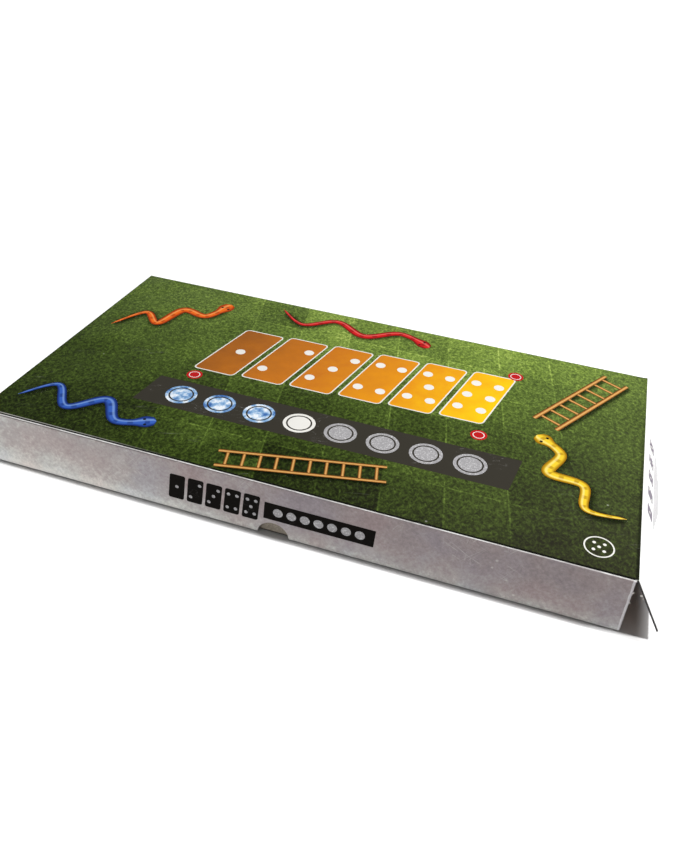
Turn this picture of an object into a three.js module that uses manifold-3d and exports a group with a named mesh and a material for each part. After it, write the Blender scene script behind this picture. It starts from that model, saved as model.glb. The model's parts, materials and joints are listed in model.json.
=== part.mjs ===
import * as THREE from "three";
import { RoundedBoxGeometry } from "three/addons/geometries/RoundedBoxGeometry.js";
import { mergeVertices } from "three/addons/utils/BufferGeometryUtils.js";
import Module from "manifold-3d";

// A boxed snakes and ladders game. A folded carton lid telescopes over a tray, and one end wall of
// the lid has come unglued and swings on its crease. The tray holds a card insert with a well for
// the pawns, the die and the rules, and the folding board lies on the insert.
// Millimetres, +Z up, +X along the box, -Y towards the front.
// The origin is the middle of the tray's underside, on the table.

// Lid, outside sizes
const LID_LENGTH = 480;
const LID_WIDTH = 260;
const LID_HEIGHT = 45;
const LID_FLOOR_GAP = 0.8;
const NOTCH_RADIUS = 12;
const NOTCH_SINK = 1.8;
const FLAP_FLOOR_GAP = 1.9;
const FLAP_RELIEF = 0.8;
const FLAP_ANGLE = THREE.MathUtils.degToRad(29.5);

// Carton board of the lid and the tray
const CARD = 1.2;
const TAB_LENGTH = 38;
const TAB_TAPER = 6;
const TAB_RELIEF = 1;

// Clearances
const CREASE_GAP = 0.3;
const SEAT_GAP = 0.3;
const TELESCOPE_PLAY = 1.3;
const INSERT_PLAY = 0.8;
const BOARD_PLAY = 1.6;
const BOARD_HEADROOM = 8;
const LEAFLET_MARGIN = 8;

// Card insert: two platforms with a well between them
const INSERT_CARD = 0.8;
const INSERT_CREASE_RADIUS = 0.3;
const WELL_LENGTH = 180;

// Folding board
const LEAF_THICKNESS = 2;
const LEAF_CORNER = 2;
const TAPE_THICKNESS = 0.12;
const TAPE_WIDTH = 24;
const TAPE_GLUE = 0.03;
const TAPE_FOLD_GAP = 0.2;

// Pawns
const PAWN_HEIGHT = 24;
const PAWN_BASE_RADIUS = 6.5;
const PAWN_RIM = 1.1;
const PAWN_NECK_RADIUS = 2.4;
const PAWN_HEAD_RADIUS = 4.3;

// Die
const DIE_SIZE = 16;
const DIE_ROUNDING = 2.2;
const PIP_RADIUS = 1.5;
const PIP_DEPTH = 0.7;
const PIP_PITCH = 4;

// Rules leaflet, folded once
const LEAFLET_WIDTH = 105;
const LEAFLET_PAPER = 0.35;
const LEAFLET_FOLD_RADIUS = 0.3;

// The loose pieces lie in a staggered row across the front of the well, each with its turn about Z
const PIECE_STAGGER = 14;
const PIECE_TURNS = {
  pawn_red: 0.45,
  pawn_blue: 2.2,
  die: 0.5,
  pawn_yellow: -0.6,
  pawn_green: 3.6,
};

// Facets
const CREASE_SEGMENTS = 6;
const NOTCH_SEGMENTS = 64;
const PAWN_SEGMENTS = 20;
const PAWN_CURVE_SEGMENTS = 5;
const PIP_SEGMENTS = 12;
const DIE_EDGE_SEGMENTS = 3;

// Vertices closer than this are one when solids are joined or cut
const WELD_DISTANCE = 1e-4;

// Sizes that follow from the ones above
const lidUnderside = LID_HEIGHT - CARD;
const creaseX = LID_LENGTH / 2 - CARD / 2;
const creaseZ = LID_HEIGHT - CARD / 2;
const flapHeight = creaseZ - FLAP_FLOOR_GAP;
const flapSideEnd = LID_LENGTH / 2 - CARD - CREASE_GAP;
const gluedSideEnd = LID_LENGTH / 2 - CARD;
const trayLength = 2 * (flapSideEnd - CARD - TELESCOPE_PLAY);
const trayWidth = LID_WIDTH - 2 * (CARD + TELESCOPE_PLAY);
const trayHeight = lidUnderside - SEAT_GAP;
const insideLength = trayLength - 4 * CARD;
const insideWidth = trayWidth - 2 * CARD;
const hingeGap = 2 * (TAPE_THICKNESS + TAPE_GLUE) + TAPE_FOLD_GAP;
const leafLength = insideLength - 2 * BOARD_PLAY;
const boardWidth = insideWidth - 2 * BOARD_PLAY;
const leafWidth = boardWidth - hingeGap / 2;
const upperLeafZ = trayHeight - BOARD_HEADROOM - LEAF_THICKNESS;
const lowerLeafZ = upperLeafZ - hingeGap - LEAF_THICKNESS;
const hingeY = boardWidth / 2;
const hingeZ = upperLeafZ - hingeGap / 2;
const insertFoot = CARD + SEAT_GAP;
const insertTop = lowerLeafZ - SEAT_GAP;
const insertWidth = insideWidth - 2 * INSERT_PLAY;
const wellFloor = insertFoot + INSERT_CARD;
const leafletLength = WELL_LENGTH - 2 * LEAFLET_MARGIN;
const leafletY = insertWidth / 2 - LEAFLET_MARGIN - LEAFLET_WIDTH / 2;
const pieceRowY = (leafletY - LEAFLET_WIDTH / 2 - insertWidth / 2) / 2;
const piecePitch = WELL_LENGTH / Object.keys(PIECE_TURNS).length;

const wasm = await Module();
wasm.setup();

const X = new THREE.Vector3(1, 0, 0);
const Y = new THREE.Vector3(0, 1, 0);
const Z = new THREE.Vector3(0, 0, 1);
const LEFT = X.clone().negate();
const FRONT = Y.clone().negate();

function material(color, roughness, metalness = 0) {
  return new THREE.MeshStandardMaterial({ color, roughness, metalness });
}
const PRINTED_CARD = material(0x4f6b2a, 0.28);
const SILVER_CARD = material(0xa8a3a2, 0.35, 0.4);
const WHITE_CARD = material(0xf4f4f2, 0.35);
const GREY_BOARD = material(0x8a8378, 0.9);
const INSERT_BOARD = material(0xd9d4c8, 0.85);
const LEAF_BOARD = material(0x2f5a3a, 0.6);
const HINGE_CLOTH = material(0x1d2a22, 0.8);
const RULES_PAPER = material(0xf2efe6, 0.8);
const DIE_PLASTIC = material(0xf4f1e8, 0.3);
const PAWN_PLASTIC = {
  pawn_red: material(0xc1272d, 0.25),
  pawn_blue: material(0x2359a6, 0.25),
  pawn_yellow: material(0xf0b81c, 0.25),
  pawn_green: material(0x2e8b46, 0.25),
};

// Joining and cutting

function toSolid(geometry) {
  const bare = new THREE.BufferGeometry();
  const loose = geometry.index ? geometry.toNonIndexed() : geometry;
  bare.setAttribute("position", loose.getAttribute("position"));
  const merged = mergeVertices(bare, WELD_DISTANCE);
  return new wasm.Manifold(
    new wasm.Mesh({
      numProp: 3,
      vertProperties: merged.getAttribute("position").array,
      triVerts: new Uint32Array(merged.index.array),
    }),
  );
}

function toGeometry(solid) {
  const mesh = solid.getMesh();
  const geometry = new THREE.BufferGeometry();
  geometry.setAttribute("position", new THREE.BufferAttribute(mesh.vertProperties, 3));
  geometry.setIndex(new THREE.BufferAttribute(mesh.triVerts, 1));
  geometry.computeVertexNormals();
  return geometry;
}

function cut(geometry, ...tools) {
  const rest = tools.reduce((solid, tool) => solid.subtract(toSolid(tool)), toSolid(geometry));
  return toGeometry(rest);
}

function common(first, second) {
  return toGeometry(toSolid(first).intersect(toSolid(second)));
}

// Shapes

// Extrudes a section evenly about its own plane, with the section's two directions laid along u and v.
function extrude(section, depth, u = X, v = Y) {
  const options = { depth, bevelEnabled: false, curveSegments: CREASE_SEGMENTS };
  const geometry = new THREE.ExtrudeGeometry(section, options);
  const basis = new THREE.Matrix4().makeBasis(u, v, u.clone().cross(v));
  return geometry.translate(0, 0, -depth / 2).applyMatrix4(basis);
}

// Section of a card panel from low to high, its outer face at v = CARD.
// An end that folds on into the next panel is a quarter round.
function panelSection(low, high, foldLow, foldHigh) {
  const section = new THREE.Shape();
  section.moveTo(low, 0);
  section.lineTo(high, 0);
  if (foldHigh) {
    section.absarc(high - CARD, 0, CARD, 0, Math.PI / 2, false);
  } else {
    section.lineTo(high, CARD);
  }
  if (foldLow) {
    section.absarc(low + CARD, 0, CARD, Math.PI / 2, Math.PI, false);
  } else {
    section.lineTo(low, CARD);
  }
  section.closePath();
  return section;
}

// Upright panel that runs along one direction, with its outer face at a distance from the middle.
function wall({ along, outward, low, high, fold, face, bottom, top }) {
  const panel = extrude(panelSection(low, high, fold, fold), top - bottom, along, outward);
  const place = outward.clone().multiplyScalar(face - CARD);
  return panel.translate(place.x, place.y, (bottom + top) / 2);
}

// Glue tab that a long wall folds in at its end, drawn in at its free end.
function glueTab({ outerX, innerY, bottom, top }) {
  const free = innerY - Math.sign(innerY) * TAB_LENGTH;
  const outline = new THREE.Shape([
    new THREE.Vector2(innerY, bottom),
    new THREE.Vector2(innerY, top),
    new THREE.Vector2(free, top - TAB_TAPER),
    new THREE.Vector2(free, bottom + TAB_TAPER),
  ]);
  return extrude(outline, CARD, Y, Z).translate(outerX - (Math.sign(outerX) * CARD) / 2, 0, 0);
}

// Strip folded along a centre line, as a closed outline with a round bend at each crease.
function foldedStrip(corners, thickness, creaseRadius) {
  const bend = creaseRadius + thickness / 2;
  const points = corners.map(([x, y]) => new THREE.Vector2(x, y));
  const side = (offset) =>
    points.flatMap((point, i) => {
      const into = point.clone().sub(points[Math.max(i - 1, 0)]).normalize();
      const out = points[Math.min(i + 1, points.length - 1)].clone().sub(point).normalize();
      const run = i === 0 ? out : into;
      const normal = new THREE.Vector2(-run.y, run.x);
      if (i === 0 || i === points.length - 1) {
        return [point.clone().addScaledVector(normal, offset)];
      }
      const turn = Math.sign(into.cross(out));
      const centre = point.clone().addScaledVector(into, -bend).addScaledVector(out, bend);
      const start = normal.clone().multiplyScalar(-turn);
      return Array.from({ length: CREASE_SEGMENTS + 1 }, (_, k) => {
        const angle = (turn * (Math.PI / 2) * k) / CREASE_SEGMENTS;
        const spoke = start.clone().rotateAround(new THREE.Vector2(), angle);
        return centre.clone().addScaledVector(spoke, bend - turn * offset);
      });
    });
  const outline = [...side(-thickness / 2), ...side(thickness / 2).reverse()];
  return new THREE.Shape(outline);
}

function roundedRectangle(width, height, radius) {
  const x = width / 2 - radius;
  const y = height / 2 - radius;
  const shape = new THREE.Shape();
  shape.absarc(x, -y, radius, -Math.PI / 2, 0, false);
  shape.absarc(x, y, radius, 0, Math.PI / 2, false);
  shape.absarc(-x, y, radius, Math.PI / 2, Math.PI, false);
  shape.absarc(-x, -y, radius, Math.PI, 1.5 * Math.PI, false);
  shape.closePath();
  return shape;
}

function named(name, geometry, finish) {
  const mesh = new THREE.Mesh(geometry, finish);
  mesh.name = name;
  return mesh;
}

function gathered(...members) {
  const group = new THREE.Group();
  group.add(...members);
  return group;
}

// Lid

function lidTop() {
  const across = extrude(panelSection(-LID_WIDTH / 2, LID_WIDTH / 2, true, true), LID_LENGTH, Y, Z);
  const along = extrude(panelSection(-LID_LENGTH / 2, flapSideEnd, true, false), LID_WIDTH, X, Z);
  return common(across, along).translate(0, 0, lidUnderside);
}

// Long wall of the lid with the half-round thumb notch in its lower edge.
function lidLongWall(outward) {
  const panel = wall({
    along: X,
    outward,
    low: -gluedSideEnd,
    high: flapSideEnd,
    fold: true,
    face: LID_WIDTH / 2,
    bottom: LID_FLOOR_GAP,
    top: lidUnderside,
  });
  const through = 4 * CARD;
  const notch = new THREE.CylinderGeometry(NOTCH_RADIUS, NOTCH_RADIUS, through, NOTCH_SEGMENTS);
  const place = outward.clone().multiplyScalar(LID_WIDTH / 2);
  return cut(panel, notch.translate(place.x, place.y, LID_FLOOR_GAP - NOTCH_SINK));
}

function lidLeftWall() {
  return wall({
    along: Y,
    outward: LEFT,
    low: -LID_WIDTH / 2,
    high: LID_WIDTH / 2,
    fold: false,
    face: LID_LENGTH / 2,
    bottom: LID_FLOOR_GAP,
    top: lidUnderside,
  });
}

function lidTab(outerX, ySide) {
  const innerY = ySide * (LID_WIDTH / 2 - CARD);
  return glueTab({ outerX, innerY, bottom: LID_FLOOR_GAP, top: lidUnderside - TAB_RELIEF });
}

// End flap hanging from its crease: the round top edge is centred on the crease line.
function endFlap() {
  const section = new THREE.Shape();
  section.moveTo(-CARD / 2, -flapHeight);
  section.lineTo(CARD / 2, -flapHeight);
  section.absarc(0, 0, CARD / 2, 0, Math.PI, false);
  section.closePath();
  const flap = named("lid_end_flap", extrude(section, LID_WIDTH - 2 * FLAP_RELIEF, X, Z), WHITE_CARD);
  const crease = gathered(flap);
  crease.position.set(creaseX, 0, creaseZ);
  crease.rotation.y = -FLAP_ANGLE;
  return crease;
}

function lid() {
  return gathered(
    named("lid_top", lidTop(), PRINTED_CARD),
    named("lid_front_wall", lidLongWall(FRONT), SILVER_CARD),
    named("lid_back_wall", lidLongWall(Y), SILVER_CARD),
    named("lid_left_wall", lidLeftWall(), SILVER_CARD),
    named("lid_glue_tab_front_left", lidTab(-gluedSideEnd, -1), GREY_BOARD),
    named("lid_glue_tab_back_left", lidTab(-gluedSideEnd, 1), GREY_BOARD),
    named("lid_glue_tab_front_right", lidTab(flapSideEnd, -1), GREY_BOARD),
    named("lid_glue_tab_back_right", lidTab(flapSideEnd, 1), GREY_BOARD),
    endFlap(),
  );
}

// Tray

// Floor panel, its lower edges rounded where it folds up into the walls.
function trayFloor() {
  const down = Z.clone().negate();
  const across = panelSection(-trayWidth / 2, trayWidth / 2, true, true);
  const along = panelSection(-trayLength / 2, trayLength / 2, true, true);
  const floor = common(extrude(across, trayLength, Y, down), extrude(along, trayWidth, X, down));
  return floor.translate(0, 0, CARD);
}

function trayWall(along, outward) {
  const isLong = along === X;
  const reach = isLong ? trayLength / 2 - CARD : trayWidth / 2;
  return wall({
    along,
    outward,
    low: -reach,
    high: reach,
    fold: isLong,
    face: (isLong ? trayWidth : trayLength) / 2,
    bottom: CARD,
    top: trayHeight,
  });
}

function trayTab(xSide, ySide) {
  return glueTab({
    outerX: xSide * (trayLength / 2 - CARD),
    innerY: ySide * (trayWidth / 2 - CARD),
    bottom: CARD + TAB_RELIEF,
    top: trayHeight,
  });
}

function tray() {
  return gathered(
    named("tray_floor", trayFloor(), GREY_BOARD),
    named("tray_front_wall", trayWall(X, FRONT), GREY_BOARD),
    named("tray_back_wall", trayWall(X, Y), GREY_BOARD),
    named("tray_left_wall", trayWall(Y, LEFT), GREY_BOARD),
    named("tray_right_wall", trayWall(Y, X), GREY_BOARD),
    named("tray_glue_tab_front_left", trayTab(-1, -1), GREY_BOARD),
    named("tray_glue_tab_back_left", trayTab(-1, 1), GREY_BOARD),
    named("tray_glue_tab_front_right", trayTab(1, -1), GREY_BOARD),
    named("tray_glue_tab_back_right", trayTab(1, 1), GREY_BOARD),
  );
}

// Insert: one strip of card folded into a platform at each end and a well in the middle.
function cardInsert() {
  const end = insideLength / 2 - INSERT_PLAY - INSERT_CARD / 2;
  const well = WELL_LENGTH / 2 + INSERT_CARD / 2;
  const foot = insertFoot + INSERT_CARD / 2;
  const platform = insertTop - INSERT_CARD / 2;
  const line = [
    [-end, insertFoot],
    [-end, platform],
    [-well, platform],
    [-well, foot],
    [well, foot],
    [well, platform],
    [end, platform],
    [end, insertFoot],
  ];
  const strip = foldedStrip(line, INSERT_CARD, INSERT_CREASE_RADIUS);
  return named("card_insert", extrude(strip, insertWidth, X, Z), INSERT_BOARD);
}

// Folding board, shut with its playing faces inwards and its hinge at the back.

function leaf(name, bottom) {
  const outline = roundedRectangle(leafLength, leafWidth, LEAF_CORNER);
  const board = named(name, extrude(outline, LEAF_THICKNESS), LEAF_BOARD);
  board.position.set(0, hingeY - hingeGap / 2 - leafWidth / 2, bottom + LEAF_THICKNESS / 2);
  return board;
}

// Cloth tape glued to both playing faces, doubled over in the fold.
function hingeTape() {
  const leg = (TAPE_FOLD_GAP + TAPE_THICKNESS) / 2;
  const line = [
    [-TAPE_WIDTH / 2, -leg],
    [-TAPE_THICKNESS, -leg],
    [-TAPE_THICKNESS, leg],
    [-TAPE_WIDTH / 2, leg],
  ];
  const strip = extrude(
    foldedStrip(line, TAPE_THICKNESS, TAPE_FOLD_GAP / 2),
    leafLength - 2 * LEAF_CORNER,
    Y,
    Z,
  );
  const tape = named("board_hinge_tape", strip, HINGE_CLOTH);
  tape.position.set(0, hingeY, hingeZ);
  return tape;
}

function foldingBoard() {
  return gathered(
    leaf("board_lower_leaf", lowerLeafZ),
    leaf("board_upper_leaf", upperLeafZ),
    hingeTape(),
  );
}

// Pawns: a turned cone with a beaded foot and a ball head.

function pawnGeometry() {
  const headZ = PAWN_HEIGHT - PAWN_HEAD_RADIUS;
  const neckAngle = Math.acos(PAWN_NECK_RADIUS / PAWN_HEAD_RADIUS);
  const neckZ = headZ - PAWN_HEAD_RADIUS * Math.sin(neckAngle);
  const rimX = PAWN_BASE_RADIUS - PAWN_RIM;
  const profile = new THREE.Path();
  profile.moveTo(0, 0);
  profile.lineTo(rimX, 0);
  profile.absarc(rimX, PAWN_RIM, PAWN_RIM, -Math.PI / 2, Math.PI / 2, false);
  profile.quadraticCurveTo(PAWN_NECK_RADIUS, neckZ / 2, PAWN_NECK_RADIUS, neckZ);
  profile.absarc(0, headZ, PAWN_HEAD_RADIUS, -neckAngle, Math.PI / 2, false);
  const points = profile.getPoints(PAWN_CURVE_SEGMENTS);
  points[points.length - 1].x = 0;
  return new THREE.LatheGeometry(points, PAWN_SEGMENTS).rotateX(Math.PI / 2);
}

// A pawn on its side leans until its head and the edge of its foot both touch the floor.
function lyingPawn(name, x, y, turn) {
  const headZ = PAWN_HEIGHT - PAWN_HEAD_RADIUS;
  const rimX = PAWN_BASE_RADIUS - PAWN_RIM;
  const reach = headZ - PAWN_RIM;
  const drop = PAWN_HEAD_RADIUS - PAWN_RIM;
  const lean = Math.acos(drop / Math.hypot(rimX, reach)) - Math.atan2(reach, rimX);
  const pawn = named(name, pawnGeometry(), PAWN_PLASTIC[name]);
  pawn.rotation.y = Math.PI / 2 + lean;
  pawn.position.x = (-PAWN_HEIGHT / 2) * Math.cos(lean);
  pawn.position.z = PAWN_HEAD_RADIUS + headZ * Math.sin(lean);
  const spot = gathered(pawn);
  spot.position.set(x, y, wellFloor + SEAT_GAP);
  spot.rotation.z = turn;
  return spot;
}

// Die with a shallow round dimple for each pip. Opposite faces add up to seven.

function pipSpots(count) {
  const spots = count % 2 === 1 ? [[0, 0]] : [];
  if (count > 1) spots.push([-1, -1], [1, 1]);
  if (count > 3) spots.push([-1, 1], [1, -1]);
  if (count > 5) spots.push([-1, 0], [1, 0]);
  return spots;
}

function dieGeometry() {
  const dimple = (PIP_RADIUS ** 2 + PIP_DEPTH ** 2) / (2 * PIP_DEPTH);
  const faces = [
    [1, Z, X],
    [6, Z.clone().negate(), X],
    [2, FRONT, X],
    [5, Y, X],
    [3, X, Y],
    [4, LEFT, Y],
  ];
  const pips = faces.flatMap(([count, outward, side]) => {
    const up = outward.clone().cross(side);
    return pipSpots(count).map(([u, v]) => {
      const centre = outward.clone().multiplyScalar(DIE_SIZE / 2 - PIP_DEPTH + dimple);
      centre.addScaledVector(side, u * PIP_PITCH).addScaledVector(up, v * PIP_PITCH);
      const ball = new THREE.SphereGeometry(dimple, PIP_SEGMENTS, PIP_SEGMENTS / 2);
      return ball.translate(centre.x, centre.y, centre.z);
    });
  });
  const edges = [DIE_EDGE_SEGMENTS, DIE_ROUNDING];
  const block = new RoundedBoxGeometry(DIE_SIZE, DIE_SIZE, DIE_SIZE, ...edges);
  return cut(block, ...pips);
}

function restingDie(name, x, y, turn) {
  const cube = named(name, dieGeometry(), DIE_PLASTIC);
  cube.position.set(x, y, wellFloor + SEAT_GAP + DIE_SIZE / 2);
  cube.rotation.z = turn;
  return cube;
}

// Rules leaflet: a sheet folded once, lying at the back of the well.
function rulesLeaflet() {
  const upperPage = LEAFLET_PAPER + 2 * LEAFLET_FOLD_RADIUS;
  const line = [
    [LEAFLET_WIDTH / 2, 0],
    [-LEAFLET_WIDTH / 2, 0],
    [-LEAFLET_WIDTH / 2, upperPage],
    [LEAFLET_WIDTH / 2, upperPage],
  ];
  const section = foldedStrip(line, LEAFLET_PAPER, LEAFLET_FOLD_RADIUS);
  const leaflet = named("rules_leaflet", extrude(section, leafletLength, Y, Z), RULES_PAPER);
  leaflet.position.set(0, leafletY, wellFloor + SEAT_GAP + LEAFLET_PAPER / 2);
  return leaflet;
}

function loosePieces() {
  const names = Object.keys(PIECE_TURNS);
  return names.map((name, i) => {
    const x = (i - (names.length - 1) / 2) * piecePitch;
    const y = pieceRowY + (i % 2 === 0 ? -PIECE_STAGGER : PIECE_STAGGER);
    const make = name === "die" ? restingDie : lyingPawn;
    return make(name, x, y, PIECE_TURNS[name]);
  });
}

export default gathered(
  tray(),
  cardInsert(),
  foldingBoard(),
  ...loosePieces(),
  rulesLeaflet(),
  lid(),
);
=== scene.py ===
"""A boxed snakes and ladders game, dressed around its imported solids."""

import json
import math
import random
from functools import cached_property

import bmesh
import bpy
from mathutils import Matrix, Vector


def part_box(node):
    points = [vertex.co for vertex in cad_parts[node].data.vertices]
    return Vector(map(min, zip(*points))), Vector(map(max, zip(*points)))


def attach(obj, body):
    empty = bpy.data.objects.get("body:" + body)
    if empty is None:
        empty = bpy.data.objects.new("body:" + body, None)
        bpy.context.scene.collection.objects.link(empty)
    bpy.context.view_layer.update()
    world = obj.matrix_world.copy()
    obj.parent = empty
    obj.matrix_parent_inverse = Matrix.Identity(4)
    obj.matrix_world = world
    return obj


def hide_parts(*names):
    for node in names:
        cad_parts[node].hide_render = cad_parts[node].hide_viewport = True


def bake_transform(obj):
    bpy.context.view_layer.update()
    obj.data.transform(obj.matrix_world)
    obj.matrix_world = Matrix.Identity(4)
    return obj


MM = 0.001
NEAR = 0.02 * MM
QUARTER = math.pi / 2

# The printed skin lies this far inside the solids' box, so that the inks on it stay inside too.
SKIN = 0.1 * MM
INK = 0.03 * MM
LAYER = 0.012 * MM

CARD = 1.2 * MM
CREASE = 1.5 * MM
CREASE_STEPS = 5
WALL_RELIEF = 2.2 * MM
WALL_DROP = 0.6 * MM
GLUE_TAB = 38 * MM
TAB_TAPER = 6 * MM
GLUE_EDGE = 2.5 * MM
NOTCH_RADIUS = 12 * MM
NOTCH_SINK = 1.8 * MM
NOTCH_SLIP = -2.3 * MM
FLAP_LENGTH = 42.5 * MM
FLAP_CARD = 1.3 * MM
FLAP_BOW = 0.2 * MM
FLAP_TOP = 0.35 * MM
FLAP_INK = 0.035 * MM
FLAP_ROUNDING = 0.22 * MM
CREASE_PAPER = 0.08 * MM
CREASE_LAP = 1.1 * MM
TORN_PAPER = 0.12 * MM

INSERT_CARD = 0.8 * MM
INSERT_CREASE = 0.7 * MM
WELL_HALF = 90 * MM
LEAF_CORNER = 2 * MM
LEAF_ROUNDING = 0.35 * MM
LEAF_MARGIN = 10 * MM
TAPE_COVER = 12.5 * MM
TAPE_CLOTH = 0.1 * MM
COLUMNS = 10
LEAF_ROWS = 5
FIGURE_SIZE = 11 * MM
LEAFLET_PAPER = 0.35 * MM
LEAFLET_CREASE = 0.4 * MM

PAWN_HEIGHT = 24 * MM
PAWN_FOOT = 6.5 * MM
PAWN_RIM = 1.1 * MM
PAWN_NECK = 2.4 * MM
PAWN_HEAD = 4.3 * MM
PAWN_COLLAR = (0.62 * MM, 0.95 * MM)
PAWN_SIDES = 44
DIE_SIZE = 16 * MM
DIE_ROUNDING = 2.2 * MM
PIP_RADIUS = 1.5 * MM
PIP_DEPTH = 0.7 * MM
PIP_PITCH = 4 * MM

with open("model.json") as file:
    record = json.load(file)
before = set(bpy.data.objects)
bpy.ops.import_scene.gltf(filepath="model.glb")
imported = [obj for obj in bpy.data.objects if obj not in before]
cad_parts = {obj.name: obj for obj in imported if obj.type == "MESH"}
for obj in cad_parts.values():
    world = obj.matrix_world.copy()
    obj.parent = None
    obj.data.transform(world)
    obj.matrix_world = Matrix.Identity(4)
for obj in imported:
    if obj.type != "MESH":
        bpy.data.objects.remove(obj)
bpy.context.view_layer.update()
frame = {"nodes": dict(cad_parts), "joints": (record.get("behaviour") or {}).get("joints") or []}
joints = {joint["name"]: joint for joint in frame["joints"]}

# Finishes: sums of patterns, written as plain Python. Colours are as a paint chart gives them.

WHITE_PAPER = (228, 226, 220)
INK_BLACK = (14, 14, 12)
WHITE_LIGHT = (1, 1, 1, 1)
PRINT = {"Specular_IOR_Level": 0.012}


def paint(colour, share=1.0):
    """A colour from 0 to 255, made linear for the shaders and dimmed to a share."""
    def linear(part):
        part /= 255
        return part / 12.92 if part <= 0.04045 else ((part + 0.055) / 1.055) ** 2.4
    return (*[linear(part) * share for part in colour], 1)


def operation(kind, swapped=False):
    """One sum on inks, as a method that adds its Math node."""
    def method(self, other=0.0):
        terms = (other, self) if swapped else (self, other)
        return self.finish.node("Math", {"operation": kind}, dict(enumerate(terms)))
    return method


class Ink:
    """One socket of a finish, which sums can be written with."""

    def __init__(self, finish, socket):
        self.finish = finish
        self.socket = socket

    __add__ = __radd__ = operation("ADD")
    __sub__ = operation("SUBTRACT")
    __rsub__ = operation("SUBTRACT", swapped=True)
    __mul__ = __rmul__ = operation("MULTIPLY")
    __truediv__ = operation("DIVIDE")
    __pow__ = operation("POWER")
    __mod__ = operation("FLOORED_MODULO")
    __lt__ = operation("LESS_THAN")
    __gt__ = operation("GREATER_THAN")
    __abs__ = operation("ABSOLUTE")
    floor = operation("FLOOR")
    sine = operation("SINE")
    least = operation("MINIMUM")
    most = operation("MAXIMUM")


class Finish:
    """A finish of the game: a material, or the studio's world, built node by node."""

    def __init__(self, name, owner=None, **constants):
        self.owner = owner or bpy.data.materials.new(name)
        self.owner.use_nodes = True
        self.tree = self.owner.node_tree
        self.shader = self.tree.nodes.get("Principled BSDF")
        for socket, value in constants.items():
            self.shader.inputs[socket.replace("_", " ")].default_value = value

    def node(self, kind, settings=None, sockets=None, output=0):
        made = self.tree.nodes.new("ShaderNode" + kind)
        for name, value in (settings or {}).items():
            if name == "stops":
                self.set_stops(made.color_ramp, value)
            else:
                setattr(made, name, value)
        for name, value in (sockets or {}).items():
            if isinstance(value, Ink):
                self.tree.links.new(value.socket, made.inputs[name])
            else:
                made.inputs[name].default_value = value
        return Ink(self, made.outputs[output])

    def set_stops(self, ramp, stops):
        while len(ramp.elements) < len(stops):
            ramp.elements.new(1)
        for element, (position, colour) in zip(ramp.elements, stops):
            element.position = position
            element.color = paint(colour)

    def link(self, name, ink):
        self.tree.links.new(ink.socket, self.shader.inputs[name])

    @cached_property
    def at(self):
        return self.node("TexCoord", output="Object")

    @cached_property
    def xyz(self):
        return self.split(self.at)

    def length_and_width(self):
        return self.split(self.node("TexCoord", output="UV"))[:2]

    def split(self, vector):
        parts = self.node("SeparateXYZ", sockets={0: vector}).socket.node
        return [Ink(self, parts.outputs[axis]) for axis in "XYZ"]

    def gather(self, x, y, z=0.0):
        return self.node("CombineXYZ", sockets={0: x, 1: y, 2: z})

    def noise(self, scale, detail=2.0, roughness=0.5, at=None):
        sockets = {"Vector": at or self.at, "Scale": scale, "Detail": detail, "Roughness": roughness}
        return self.node("TexNoise", sockets=sockets)

    def streaks(self, turn, counts, detail=3.0, roughness=0.5):
        """Noise drawn out in streaks: turned first, then so many to a metre along each axis."""
        sockets = {"Vector": self.at, "Rotation": turn, "Scale": [1 / count for count in counts]}
        drawn = self.node("Mapping", {"vector_type": "TEXTURE"}, sockets)
        return self.noise(1.0, detail, roughness, drawn)

    def specks(self, scale, small, large):
        dots = self.node("TexVoronoi", sockets={"Vector": self.at, "Scale": scale})
        return 1 - self.step(dots, small, large)

    def chance(self, vector):
        return self.node("TexWhiteNoise", sockets={"Vector": vector})

    def step(self, value, low, high):
        sockets = {"Value": value, "From Min": low, "From Max": high}
        return self.node("MapRange", {"interpolation_type": "SMOOTHSTEP"}, sockets)

    def mix(self, share, first, second, blend="MIX"):
        pair = [c if isinstance(c, Ink) or len(c) > 3 else paint(c) for c in (first, second)]
        settings = {"data_type": "RGBA", "blend_type": blend}
        return self.node("Mix", settings, {0: share, 6: pair[0], 7: pair[1]}, 2)

    def ramp(self, value, *stops):
        return self.node("ValToRGB", {"stops": stops}, {0: value})

    def scratches(self, turn, width):
        """Thin bright lines all about one direction, broken up into short lengths."""
        line = 1 - self.step(abs(self.streaks(turn, (9, 260, 260), 1.0) - 0.5), 0.0, width)
        return line * self.step(self.noise(34.0), 0.52, 0.66)

    def worn(self, edge, least, most):
        """White board showing through cracked ink, where edge, the way to the fold, is short."""
        ragged = self.noise(240.0, 4.0, 0.65) * 0.5 + self.noise(21.0) * 0.5
        reach = least + ragged * (most - least)
        return 1 - self.step(edge - reach, -0.15 * MM, 0.15 * MM)

    def close(self, colour, roughness=None, height=None, bump=0.0, depth=0.1 * MM):
        self.link("Base Color", colour)
        if roughness:
            self.link("Roughness", roughness)
        if height:
            sockets = {"Height": height, "Strength": bump, "Distance": depth}
            self.link("Normal", self.node("Bump", sockets=sockets))
        return self.owner

    def laminate(self, colour):
        """Closes a printed finish: a clear film, rubbed dull in patches and finely scuffed."""
        rub = self.step(self.noise(26.0, 4.0), 0.42, 0.72)
        scuff = self.noise(900.0)
        wave = self.noise(38.0, 1.0)
        rough = 0.3 + rub * 0.14 + scuff * 0.08
        return self.close(colour, rough, wave + scuff * 0.04, 0.35, 0.25 * MM)


BLADE_TURNS = (1.05, 1.7, 2.35)
LIGHT_POOL_PLACE = (0.055, 0.165)
LIGHT_POOL_REACH = (0.46, 0.275)
FIELD_SQUARE = (0.045, 0.043)
FIELD_LEAN = 0.2


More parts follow.
